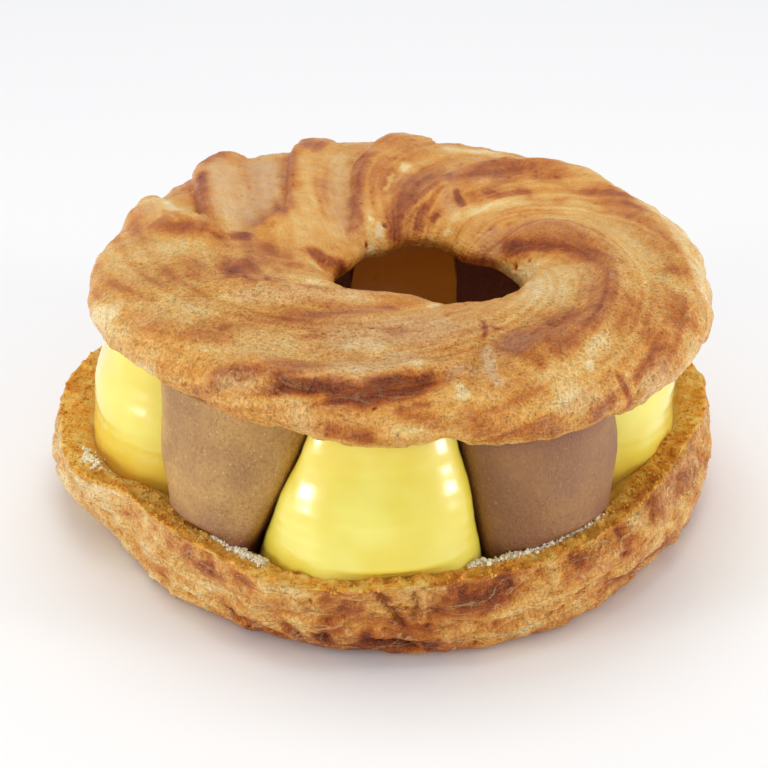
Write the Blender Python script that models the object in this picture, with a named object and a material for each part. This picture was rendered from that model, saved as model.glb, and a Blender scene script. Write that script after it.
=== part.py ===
"""A Paris-Brest: a piped choux ring cut in two, with eight dollops of cream standing in the lower half.

The lower half is a shallow trough, the lid is a spiral-ridged ring with a small off-centre hole, and the
dollops alternate between custard and chocolate cream. The model stands on the ground, +Z up.
"""

from math import atan2, cos, exp, hypot, pi, radians, sin, tau

import bmesh
import bpy

MM = 0.001

# Clearance left between pieces that touch, in millimetres.
GAP = 0.3
WALL_GAP = 0.6

# Lower half, in millimetres. Radii round the axis are (degrees, radius) knots of a closed smooth curve.
BASE_STEPS = 72
RIM_HEIGHT = 13.5
CUT_WIDTH = 3.7
FLOOR_HEIGHT = 5.2
# The trough's outer wall on its inner side, from the cut edge down to the floor: (height, inset).
TROUGH_WALL = ((13.3, 0.0), (10.5, 4.2), (8.0, 6.8), (5.2, 9.6))
RIM_RADII = (
    (0, 48.6), (17, 50.6), (60, 49.2), (90, 48.4), (125, 49.6), (163, 50.2), (186, 49.2), (202, 49.0),
    (212, 45.0), (227, 45.6), (241, 47.4), (255, 50.6), (275, 49.1), (302, 47.5), (330, 45.2), (347, 45.8),
)
BELLY_RADII = (
    (0, 49.8), (15, 50.8), (60, 49.8), (90, 49.0), (125, 50.0), (163, 50.8), (180, 50.8), (191, 50.0),
    (202, 46.6), (214, 44.2), (227, 45.6), (241, 46.6), (255, 48.9), (275, 48.6), (302, 48.2), (325, 47.6),
    (345, 48.2),
)
BELLY_HEIGHT = 8.0
FOOT_RADII = (
    (0, 45.8), (60, 44.6), (120, 44.0), (180, 43.0), (207, 41.0), (228, 42.4), (262, 44.3), (284, 45.4),
    (305, 45.0), (325, 43.6), (339, 44.6),
)
# Round its foot: (radius added, height). Above it, (share of the way to the next radius, height).
FOOT_EDGE = (1.8, 1.4)
FOOT_TO_BELLY = (0.78, 4.6)
BELLY_TO_RIM = (0.65, 11.4)
BASE_HOLE_CENTRE = (2.0, -0.6)
BASE_HOLE_RADIUS = 12.6
# From the trough's floor over the inner lip and down the hole: (radius added, height).
BASE_HOLE_SECTION = ((7.0, 5.2), (4.2, 8.6), (3.2, 11.4), (0.4, 11.6), (0.0, 6.0), (1.6, 0.0))

# Lid, in millimetres: it lies level to within a degree or two on the cream.
LID_STEPS = 100
LID_HEIGHT = 34.7
LID_CENTRE = (2.5, 0.0)
LID_SLOPE_X = -0.026
LID_SLOPE_Y = 0.010
LID_RADII = (
    (0, 44.8), (30, 44.5), (60, 44.9), (90, 45.4), (130, 44.8), (150, 43.3), (165, 43.4), (185, 45.6),
    (200, 47.2), (226, 46.8), (256, 48.8), (298, 49.2), (322, 47.6), (343, 46.4),
)
CROWN_HEIGHTS = (
    (0, 7.6), (50, 6.6), (85, 5.6), (118, 5.6), (155, 6.2), (200, 7.6), (250, 8.4), (290, 8.6), (330, 8.2),
)
HOLE_CENTRE = (6.4, -2.4)
HOLE_RADII = (
    (0, 13.6), (25, 13.0), (42, 12.8), (55, 11.6), (65, 11.6), (76, 13.4), (90, 15.0), (103, 15.0),
    (117, 13.2), (130, 14.0), (150, 13.4), (180, 14.2), (240, 13.0), (300, 13.4),
)
# Section of the lid from its outer cut edge over the top to the hole, as shares of (width, crown height).
LID_SECTION = (
    (0.050, 0.00), (0.010, 0.17), (0.000, 0.37), (0.030, 0.62), (0.110, 0.84), (0.230, 0.95), (0.400, 1.00),
    (0.570, 1.00), (0.740, 0.96), (0.870, 0.84), (0.950, 0.62), (1.000, 0.30), (0.985, 0.00),
)

# Piped ridges of the lid: (height, steep width, gentle width, line), widths in millimetres. A line is
# (degrees, radius) knots round the lid's centre, walked so that the steep side lies on its left.
RIDGES = (
    (1.2, 2.0, 8.0, ((151, 9), (130, 11), (113, 16), (104, 26), (97, 36), (91, 43), (85, 44))),
    (1.4, 2.0, 6.5, ((173, 23), (157, 21), (139, 22), (131, 26), (120, 34), (111, 43), (104, 44))),
    (2.0, 2.2, 6.0, ((171, 28), (164, 30), (153, 33), (141, 39), (134, 43), (127, 43))),
    (1.6, 2.0, 5.5, ((150, 42), (156, 42), (162, 37), (169, 32), (175, 28), (181, 26))),
    (1.4, 2.2, 4.0, ((93, 12), (75, 23), (66, 32), (53, 38), (33, 38), (0, 39), (-24, 45))),
    (1.8, 2.6, 4.6, ((-71, 42), (-56, 38), (-38, 35), (-17, 31), (-6, 30), (11, 24), (30, 17))),
    (1.4, 2.2, 3.4, ((205, 34), (217, 28), (228, 25), (241, 22), (255, 20), (272, 18), (290, 19))),
    (1.4, 2.0, 4.0, ((282, 40), (275, 41), (264, 43), (249, 44), (242, 44), (234, 47))),
)
RIDGE_POINTS = 28
# Share of its length in which a ridge rises from each end, and share of the crown's height where it is full.
RIDGE_FADE = 0.14
RIDGE_FULL_HEIGHT = 0.6

# Cream dollops in turn round the ring, in millimetres: (node, degrees, ring radius, foot radius, top radius).
DOLLOP_STEPS = 28
DOLLOPS = (
    ("custard_dollop_4", 353.0, 27.2, 16.4, 16.0),
    ("chocolate_dollop_3", 41.0, 29.4, 13.6, 13.0),
    ("custard_dollop_3", 81.5, 29.6, 15.6, 13.6),
    ("chocolate_dollop_2", 132.0, 29.4, 15.6, 14.8),
    ("custard_dollop_2", 189.0, 27.0, 17.0, 14.2),
    ("chocolate_dollop_1", 234.5, 29.8, 15.0, 14.2),
    ("custard_dollop_1", 267.6, 30.4, 17.8, 14.0),
    ("chocolate_dollop_4", 305.0, 29.8, 15.6, 14.8),
)
# Upright borders between the dollops, each before the dollop of its turn: (degrees at BORDER_HEIGHT, degrees
# that it turns per millimetre of height).
BORDERS = (
    (322.0, 0.7), (24.0, -0.3), (58.0, 0.3), (105.0, -0.3), (159.0, 0.3), (220.0, -0.6), (247.8, 0.60),
    (287.8, -0.28),
)
BORDER_HEIGHT = 20.0
# Heights of a dollop's rings as shares of its height, and how far each lies from top width to foot width.
DOLLOP_LEVELS = (
    (0.00, 0.85), (0.12, 1.00), (0.25, 1.00), (0.37, 0.95), (0.52, 0.78), (0.67, 0.49), (0.84, 0.12),
    (0.92, -0.14), (1.00, -0.52),
)
# How hard the borders and a dollop's own outline are blended: the higher, the sharper the corner.
SQUEEZE = 14
# Dollops stay this far from the axis, and inside the trough up to this far above its rim.
DOLLOP_INNER_RADIUS = 22.2
RIM_CLEARANCE = 2.0
# Smallest closing speed of a ray and a border that counts as their meeting.
PARALLEL = 1e-6

# Edges that turn by more than this are drawn sharp.
SHARP_DEGREES = 50

COLOURS = {
    "crust": (0.62, 0.33, 0.11, 0.45),
    "custard": (0.89, 0.79, 0.16, 0.25),
    "chocolate": (0.26, 0.14, 0.07, 0.55),
}


def clear_scene():
    for item in list(bpy.data.objects):
        bpy.data.objects.remove(item, do_unlink=True)


def material(name, kind):
    """A plain material in the colour and roughness of one of the pastry's three stuffs."""
    red, green, blue, roughness = COLOURS[kind]
    made = bpy.data.materials.new(name)
    made.use_nodes = True
    shader = made.node_tree.nodes["Principled BSDF"]
    shader.inputs["Base Color"].default_value = (red, green, blue, 1.0)
    shader.inputs["Roughness"].default_value = roughness
    shader.inputs["Metallic"].default_value = 0.0
    return made


def spline(a, b, c, d, u):
    """Catmull-Rom value between b and c."""
    return 0.5 * (2 * b + (c - a) * u + (2 * a - 5 * b + 4 * c - d) * u**2 + (3 * b - a - 3 * c + d) * u**3)


def around(knots, degrees):
    """Value at an angle of a closed smooth curve through (degrees, value) knots."""
    count = len(knots)
    degrees = degrees % 360
    index = max((i for i in range(count) if knots[i][0] <= degrees), default=count - 1)
    start = knots[index][0]
    end = knots[(index + 1) % count][0] + (360 if index == count - 1 else 0)
    near = [knots[(index + step) % count][1] for step in (-1, 0, 1, 2)]
    return spline(*near, (degrees - start) / (end - start))


def ridge_line(knots):
    """Evenly counted points of a ridge's line, in millimetres from the lid's centre."""
    flat = [(radius * cos(radians(angle)), radius * sin(radians(angle))) for angle, radius in knots]
    flat = [flat[0]] + flat + [flat[-1]]
    spans = len(flat) - 3
    line = []
    for step in range(RIDGE_POINTS + 1):
        place = step * spans / RIDGE_POINTS
        index = min(int(place), spans - 1)
        near = flat[index:index + 4]
        line.append(tuple(spline(*(point[axis] for point in near), place - index) for axis in (0, 1)))
    return line


def ridge_relief(x, y, lines):
    """Height that the piped ridges add at a place on the lid."""
    total = 0.0
    for (height, steep, gentle, _), line in zip(RIDGES, lines):
        nearest = min(range(len(line)), key=lambda i: hypot(x - line[i][0], y - line[i][1]))
        before, after = line[max(nearest - 1, 0)], line[min(nearest + 1, RIDGE_POINTS)]
        along = (after[0] - before[0], after[1] - before[1])
        away = (x - line[nearest][0], y - line[nearest][1])
        side = (along[0] * away[1] - along[1] * away[0]) / hypot(*along)
        width = steep if side > 0 else gentle
        ends = min(nearest, RIDGE_POINTS - nearest) / RIDGE_POINTS
        total += height * min(ends / RIDGE_FADE, 1.0) * exp(-(hypot(*away) / width) ** 2)
    return total


def loft(name, rings, kind, closed):
    """A solid through rings of points: joined end to end as a ring, or capped at its two ends."""
    mesh = bpy.data.meshes.new(name)
    form = bmesh.new()
    loops = [[form.verts.new([value * MM for value in point]) for point in ring] for ring in rings]
    pairs = list(zip(loops, loops[1:])) + ([(loops[-1], loops[0])] if closed else [])
    for lower, upper in pairs:
        for index in range(len(lower)):
            following = (index + 1) % len(lower)
            form.faces.new((lower[index], lower[following], upper[following], upper[index]))
    if not closed:
        form.faces.new(reversed(loops[0]))
        form.faces.new(loops[-1])
    bmesh.ops.triangulate(form, faces=form.faces)
    bmesh.ops.recalc_face_normals(form, faces=form.faces)
    form.to_mesh(mesh)
    form.free()
    mesh.materials.append(material(name, kind))
    mesh.shade_smooth()
    mesh.set_sharp_from_angle(angle=radians(SHARP_DEGREES))
    piece = bpy.data.objects.new(name, mesh)
    bpy.context.scene.collection.objects.link(piece)
    return piece


def trough_wall(degrees, height):
    """Radius of the trough's outer wall on its inner side."""
    edge = around(RIM_RADII, degrees) - CUT_WIDTH
    for (high, less), (low, more) in zip(TROUGH_WALL, TROUGH_WALL[1:]):
        if height >= low:
            share = min(max((high - height) / (high - low), 0.0), 1.0)
            return edge - less - (more - less) * share
    return edge - TROUGH_WALL[-1][1]


def base_section(degrees):
    """Closed section of the lower half at one angle: (radius, height, which centre the radius is from)."""
    rim = around(RIM_RADII, degrees)
    belly = around(BELLY_RADII, degrees)
    foot = around(FOOT_RADII, degrees)
    outside = [(foot, 0.0), (foot + FOOT_EDGE[0], FOOT_EDGE[1])]
    outside += [(foot + FOOT_TO_BELLY[0] * (belly - foot), FOOT_TO_BELLY[1]), (belly, BELLY_HEIGHT)]
    outside += [(belly + BELLY_TO_RIM[0] * (rim - belly), BELLY_TO_RIM[1]), (rim, RIM_HEIGHT)]
    trough = [(trough_wall(degrees, height), height) for height, _ in TROUGH_WALL]
    hole = [(BASE_HOLE_RADIUS + added, height) for added, height in BASE_HOLE_SECTION]
    outer = [(*point, (0.0, 0.0)) for point in outside + trough]
    return outer + [(*point, BASE_HOLE_CENTRE) for point in hole]


def base_shell():
    rings = []
    for step in range(BASE_STEPS):
        angle = tau * step / BASE_STEPS
        section = base_section(angle * 180 / pi)
        rings.append([(cx + r * cos(angle), cy + r * sin(angle), z) for r, z, (cx, cy) in section])
    return loft("base_shell", rings, "crust", closed=True)


def lid_underside(x, y):
    """Height of the lid's cut face over a place on the ground."""
    return LID_HEIGHT + LID_SLOPE_X * (x - LID_CENTRE[0]) + LID_SLOPE_Y * (y - LID_CENTRE[1])


def lid_ring():
    lines = [ridge_line(ridge[3]) for ridge in RIDGES]
    rings = []
    for step in range(LID_STEPS):
        angle = tau * step / LID_STEPS
        degrees = angle * 180 / pi
        outer, hole = around(LID_RADII, degrees), around(HOLE_RADII, degrees)
        crown = around(CROWN_HEIGHTS, degrees)
        far = (LID_CENTRE[0] + outer * cos(angle), LID_CENTRE[1] + outer * sin(angle))
        near = (HOLE_CENTRE[0] + hole * cos(angle), HOLE_CENTRE[1] + hole * sin(angle))
        ring = []
        for share, height in LID_SECTION:
            x = far[0] + (near[0] - far[0]) * share
            y = far[1] + (near[1] - far[1]) * share
            relief = ridge_relief(x - LID_CENTRE[0], y - LID_CENTRE[1], lines)
            raised = relief * min(height / RIDGE_FULL_HEIGHT, 1.0)
            ring.append((x, y, lid_underside(x, y) + height * crown + raised))
        rings.append(ring)
    return loft("lid_ring", rings, "crust", closed=True)


def ray_limit(centre, direction, border, side):
    """Distance along a ray from a dollop's centre to the border plane at an angle round the ring."""
    normal = (-sin(border) * side, cos(border) * side)
    room = -(centre[0] * normal[0] + centre[1] * normal[1]) - GAP / 2
    closing = direction[0] * normal[0] + direction[1] * normal[1]
    return room / closing if closing > PARALLEL else room / PARALLEL


def dollop(index):
    """One piped dollop: wide at its foot in the trough, flat under the lid, pressed by its neighbours."""
    name, degrees, ring_radius, foot, top = DOLLOPS[index]
    centre = (ring_radius * cos(radians(degrees)), ring_radius * sin(radians(degrees)))
    borders = ((BORDERS[index], -1), (BORDERS[(index + 1) % len(BORDERS)], 1))
    bottom = FLOOR_HEIGHT + GAP
    rings = []
    for rise, spread in DOLLOP_LEVELS:
        radius = top + (foot - top) * spread
        over = bottom + rise * (LID_HEIGHT - bottom) - BORDER_HEIGHT
        ring = []
        for step in range(DOLLOP_STEPS):
            angle = tau * step / DOLLOP_STEPS
            direction = (cos(angle), sin(angle))
            limits = [ray_limit(centre, direction, radians(border + lean * over), side)
                      for (border, lean), side in borders]
            reach = sum(limit**-SQUEEZE for limit in [radius] + limits) ** (-1 / SQUEEZE)
            x, y = centre[0] + reach * direction[0], centre[1] + reach * direction[1]
            z = bottom + rise * (lid_underside(x, y) - GAP - bottom)
            out, turn = hypot(x, y), atan2(y, x) * 180 / pi
            kept = max(out, DOLLOP_INNER_RADIUS)
            if z < RIM_HEIGHT + RIM_CLEARANCE:
                kept = min(kept, trough_wall(turn, z) - WALL_GAP)
            ring.append((x * kept / out, y * kept / out, z))
        rings.append(ring)
    return loft(name, rings, name.split("_")[0], closed=False)


def centre_on_ground(pieces):
    """Moves every mesh so that the pastry's plan is centred on the origin."""
    spans = []
    for axis in (0, 1):
        places = [vertex.co[axis] for piece in pieces for vertex in piece.data.vertices]
        spans.append((min(places) + max(places)) / 2)
    for piece in pieces:
        for vertex in piece.data.vertices:
            vertex.co.x -= spans[0]
            vertex.co.y -= spans[1]


def main():
    clear_scene()
    pieces = [base_shell(), lid_ring()]
    pieces += [dollop(index) for index in range(len(DOLLOPS))]
    centre_on_ground(pieces)


main()
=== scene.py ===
"""Looks of a Paris-Brest: a swirled choux lid over custard and chocolate dollops in a choux trough."""

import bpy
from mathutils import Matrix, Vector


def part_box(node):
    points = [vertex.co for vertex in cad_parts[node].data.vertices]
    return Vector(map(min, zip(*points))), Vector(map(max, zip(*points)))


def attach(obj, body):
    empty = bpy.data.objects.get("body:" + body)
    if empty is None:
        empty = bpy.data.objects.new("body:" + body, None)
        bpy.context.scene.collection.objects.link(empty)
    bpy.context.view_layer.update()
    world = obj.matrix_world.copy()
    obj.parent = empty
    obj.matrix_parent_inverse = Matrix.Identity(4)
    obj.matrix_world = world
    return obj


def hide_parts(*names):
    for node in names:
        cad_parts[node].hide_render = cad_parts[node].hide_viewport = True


bl_info = {
    "name": "Paris-Brest pastry",
    "version": (1, 0, 0),
    "blender": (4, 5, 0),
    "location": "3D View > Sidebar > Pastry",
    "description": "Models the choux halves, cream dollops and crumbs of a Paris-Brest around its frame",
    "category": "Add Mesh",
}

from math import cos, pi, radians, sin, tau

import bpy
import numpy as np
from mathutils import Vector

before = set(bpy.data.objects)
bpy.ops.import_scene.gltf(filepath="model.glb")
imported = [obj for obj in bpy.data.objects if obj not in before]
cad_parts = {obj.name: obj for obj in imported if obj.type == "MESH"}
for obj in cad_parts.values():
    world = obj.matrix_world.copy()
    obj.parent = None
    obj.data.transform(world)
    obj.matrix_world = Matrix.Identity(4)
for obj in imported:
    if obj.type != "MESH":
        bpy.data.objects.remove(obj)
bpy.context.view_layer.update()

# Lengths inside this file are millimetres; a mesh gets them as metres.
MM = 0.001
BODY = "root"

# Lid: radii and heights round the ring are (degrees, value) knots of a closed smooth curve.
LID_AROUND = 640
LID_ACROSS = 148
LID_CRUST_ROWS = 122
LID_HEIGHT = 34.7
LID_CENTRE = (2.5, 0.0)
LID_SLOPE = (-0.026, 0.010)
LID_RADII = (
    (0, 44.8), (30, 44.5), (60, 44.9), (90, 45.4), (130, 44.8), (150, 43.3), (165, 43.4), (185, 45.6), (200, 47.2),
    (226, 46.8), (256, 48.8), (298, 49.2), (322, 47.6), (343, 46.4),
)
CROWN_HEIGHTS = (
    (0, 7.6), (50, 6.6), (85, 5.6), (118, 5.6), (155, 6.2), (200, 7.6), (250, 8.4), (290, 8.6), (330, 8.2),
)
LID_HOLE_CENTRE = (6.4, -2.4)
LID_HOLE_RADII = (
    (0, 13.6), (25, 13.0), (42, 12.8), (55, 11.6), (65, 11.6), (76, 13.4), (90, 15.0), (103, 15.0), (117, 13.2),
    (130, 14.0), (150, 13.4), (180, 14.2), (240, 13.0), (300, 13.4),
)
# Section from the outer cut edge over the top to the hole: (share of width, share of crown height).
LID_SECTION = (
    (0.050, 0.00), (0.010, 0.17), (0.000, 0.37), (0.030, 0.62), (0.110, 0.84), (0.230, 0.95), (0.400, 1.00),
    (0.570, 1.00), (0.740, 0.96), (0.870, 0.84), (0.950, 0.62), (1.000, 0.30), (0.985, 0.00),
)
LID_SECTION_SIZE = (31.0, 7.5)

# Base: the same kind of knots, and a section of stations (share of the loop, height).
BASE_AROUND = 640
BASE_ACROSS = 140
RIM_HEIGHT = 13.5
CUT_WIDTH = 3.7
FLOOR_HEIGHT = 5.2
RIM_RADII = (
    (0, 48.6), (17, 50.6), (60, 49.2), (90, 48.4), (125, 49.6), (163, 50.2), (186, 49.2), (202, 49.0),
    (212, 45.0), (227, 45.6), (241, 47.4), (255, 50.6), (275, 49.1), (302, 47.5), (330, 45.2), (347, 45.8),
)
BELLY_RADII = (
    (0, 49.8), (15, 50.8), (60, 49.8), (90, 49.0), (125, 50.0), (163, 50.8), (180, 50.8), (191, 50.0),
    (202, 46.6), (214, 44.2), (227, 45.6), (241, 46.6), (255, 48.9), (275, 48.6), (302, 48.2), (325, 47.6),
    (345, 48.2),
)
FOOT_RADII = (
    (0, 45.8), (60, 44.6), (120, 44.0), (180, 43.0), (207, 41.0), (228, 42.4), (262, 44.3), (284, 45.4),
    (305, 45.0), (325, 43.6), (339, 44.6),
)
BASE_HOLE_CENTRE = (2.0, -0.6)
BASE_HOLE_RADIUS = 12.6
TROUGH_WALL = ((13.3, 0.0), (10.5, 4.2), (8.0, 6.8), (5.2, 9.6))
RIM_PLACE = 0.42
CUT_PLACE = 0.55
TROUGH_PLACES = (CUT_PLACE, 0.61, 0.66, 0.71)

# Cream dollops in turn round the ring: (node, degrees, ring radius, foot radius, top radius), and the
# borders between them: (degrees at BORDER_HEIGHT, degrees it turns per millimetre of height). A dollop's
# borders are the one before it and the one after it.
DOLLOPS = (
    ("custard_dollop_4", 353.0, 27.2, 16.4, 16.0),
    ("chocolate_dollop_3", 41.0, 29.4, 13.6, 13.0),
    ("custard_dollop_3", 81.5, 29.6, 15.6, 13.6),
    ("chocolate_dollop_2", 132.0, 29.4, 15.6, 14.8),
    ("custard_dollop_2", 189.0, 27.0, 17.0, 14.2),
    ("chocolate_dollop_1", 234.5, 29.8, 15.0, 14.2),
    ("custard_dollop_1", 267.6, 30.4, 17.8, 14.0),
    ("chocolate_dollop_4", 305.0, 29.8, 15.6, 14.8),
)
BORDERS = (
    (322.0, 0.7), (24.0, -0.3), (58.0, 0.3), (105.0, -0.3), (159.0, 0.3), (220.0, -0.6), (247.8, 0.60),
    (287.8, -0.28),
)
BORDER_HEIGHT = 20.0
# How far painted shade turns a dollop amber or dark: at its foot (painted shadow, partly its darker skin there), in
# the painted shadow under the lid, and all over.
DOLLOP_PAINTED_SHADE = {
    "custard_dollop_1": (0.08, 0.12, 0.0), "custard_dollop_2": (0.50, 0.0, 0.0),
    "custard_dollop_3": (0.30, 0.1, 0.0), "custard_dollop_4": (0.15, 0.0, 0.0),
    "chocolate_dollop_1": (0.85, 0.15, 0.0), "chocolate_dollop_2": (0.5, 0.2, 0.1),
    "chocolate_dollop_3": (0.5, 0.2, 0.1), "chocolate_dollop_4": (0.30, 0.40, 0.55),
}
# A dollop's outline: (share of its height, share of the way from its top width to its foot width).
DOLLOP_LEVELS = (
    (0.00, 0.85), (0.12, 1.00), (0.25, 1.00), (0.37, 0.95), (0.45, 0.88), (0.52, 0.78), (0.59, 0.65),
    (0.67, 0.49), (0.76, 0.31), (0.84, 0.12), (0.92, -0.14), (1.00, -0.52),
)
SQUEEZE = 14
TOUCH = 0.04
CRUMB_PRESS = 0.5
DOLLOP_INNER_RADIUS = 22.2
RIM_CLEARANCE = 2.0

# Piped folds of the lid: (height, left width, right width, narrowing, round side, line). A line runs
# through (degrees, share of the section) knots. Its left is the side of smaller degrees when it runs to
# the hole, and its widths shrink to the narrowing's share by its end.
FOLDS = (
    (1.2, 14.0, 1.7, 0.45, 1, ((85, 0.00), (88, 0.10), (91, 0.19), (94.5, 0.256), (99, 0.345), (103.5, 0.446),
                               (108, 0.548), (113, 0.652), (119, 0.744), (127, 0.815), (135, 0.871),
                               (141.5, 0.916), (150, 0.947))),
    (1.4, 11.0, 1.3, 0.50, 1, ((104, 0.00), (108, 0.09), (111, 0.163), (116, 0.27), (121, 0.371), (126, 0.461),
                               (132.5, 0.545), (140.5, 0.605), (149, 0.634), (156, 0.631), (163, 0.618),
                               (170, 0.605))),
    (2.0, 10.0, 2.6, 0.50, 1, ((127, 0.00), (131, 0.08), (134, 0.147), (138, 0.20), (141.5, 0.235), (147, 0.299),
                               (152.5, 0.349), (158, 0.389), (163.5, 0.426), (169.5, 0.482))),
    (1.6, 2.0, 9.0, 0.70, -1, ((150, 0.00), (153, 0.07), (156, 0.135), (160, 0.212), (162, 0.265), (165, 0.316),
                               (168, 0.401), (170, 0.443), (173, 0.489), (178, 0.55))),
    (1.4, 6.0, 1.8, 0.80, 1, ((-24, 0.176), (-14.5, 0.23), (-7, 0.263), (1, 0.288), (10, 0.30), (26, 0.305),
                              (34.5, 0.298), (43, 0.275), (48.5, 0.279), (54, 0.292), (58.5, 0.32), (66, 0.372),
                              (69, 0.422), (72.5, 0.489), (77, 0.557), (82, 0.641), (88.5, 0.734), (98, 0.815),
                              (108, 0.92))),
    (1.8, 3.4, 7.0, 0.80, 0, ((-72, 0.30), (-65, 0.349), (-57, 0.393), (-48, 0.418), (-38.5, 0.451),
                              (-28.5, 0.492), (-16, 0.531), (-3.5, 0.559), (7, 0.605), (17.5, 0.694),
                              (29, 0.771), (43.5, 0.831))),
    (1.4, 2.4, 4.5, 1.00, 0, ((203, 0.42), (213, 0.53), (222, 0.61), (232, 0.685), (244, 0.76), (260, 0.83),
                              (280, 0.86))),
    (1.4, 5.0, 1.4, 1.00, 1, ((234, 0.09), (236, 0.116), (238, 0.15), (241, 0.20), (248, 0.212), (254, 0.23),
                              (263, 0.258), (268, 0.28), (273.5, 0.308), (281, 0.338))),
    (0.9, 3.0, 3.0, 1.00, 0, ((140, 0.90), (152, 0.94), (166, 0.93), (180, 0.87))),
    (0.5, 1.8, 1.8, 1.00, 0, ((190, 0.63), (200, 0.585), (211, 0.55))),
    (-0.55, 0.9, 0.9, 1.00, 0, ((278, 0.16), (281, 0.28), (284, 0.42), (287, 0.52))),
    (-0.45, 0.8, 0.8, 1.00, 0, ((308, 0.03), (313, 0.11), (318, 0.15), (325, 0.17))),
    (-0.35, 0.8, 0.8, 1.00, 0, ((303, 0.02), (305, 0.12))),
    (-0.40, 0.9, 0.9, 1.00, 0, ((206, 0.55), (212, 0.65), (217, 0.73), (220, 0.82))),
)
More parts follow.
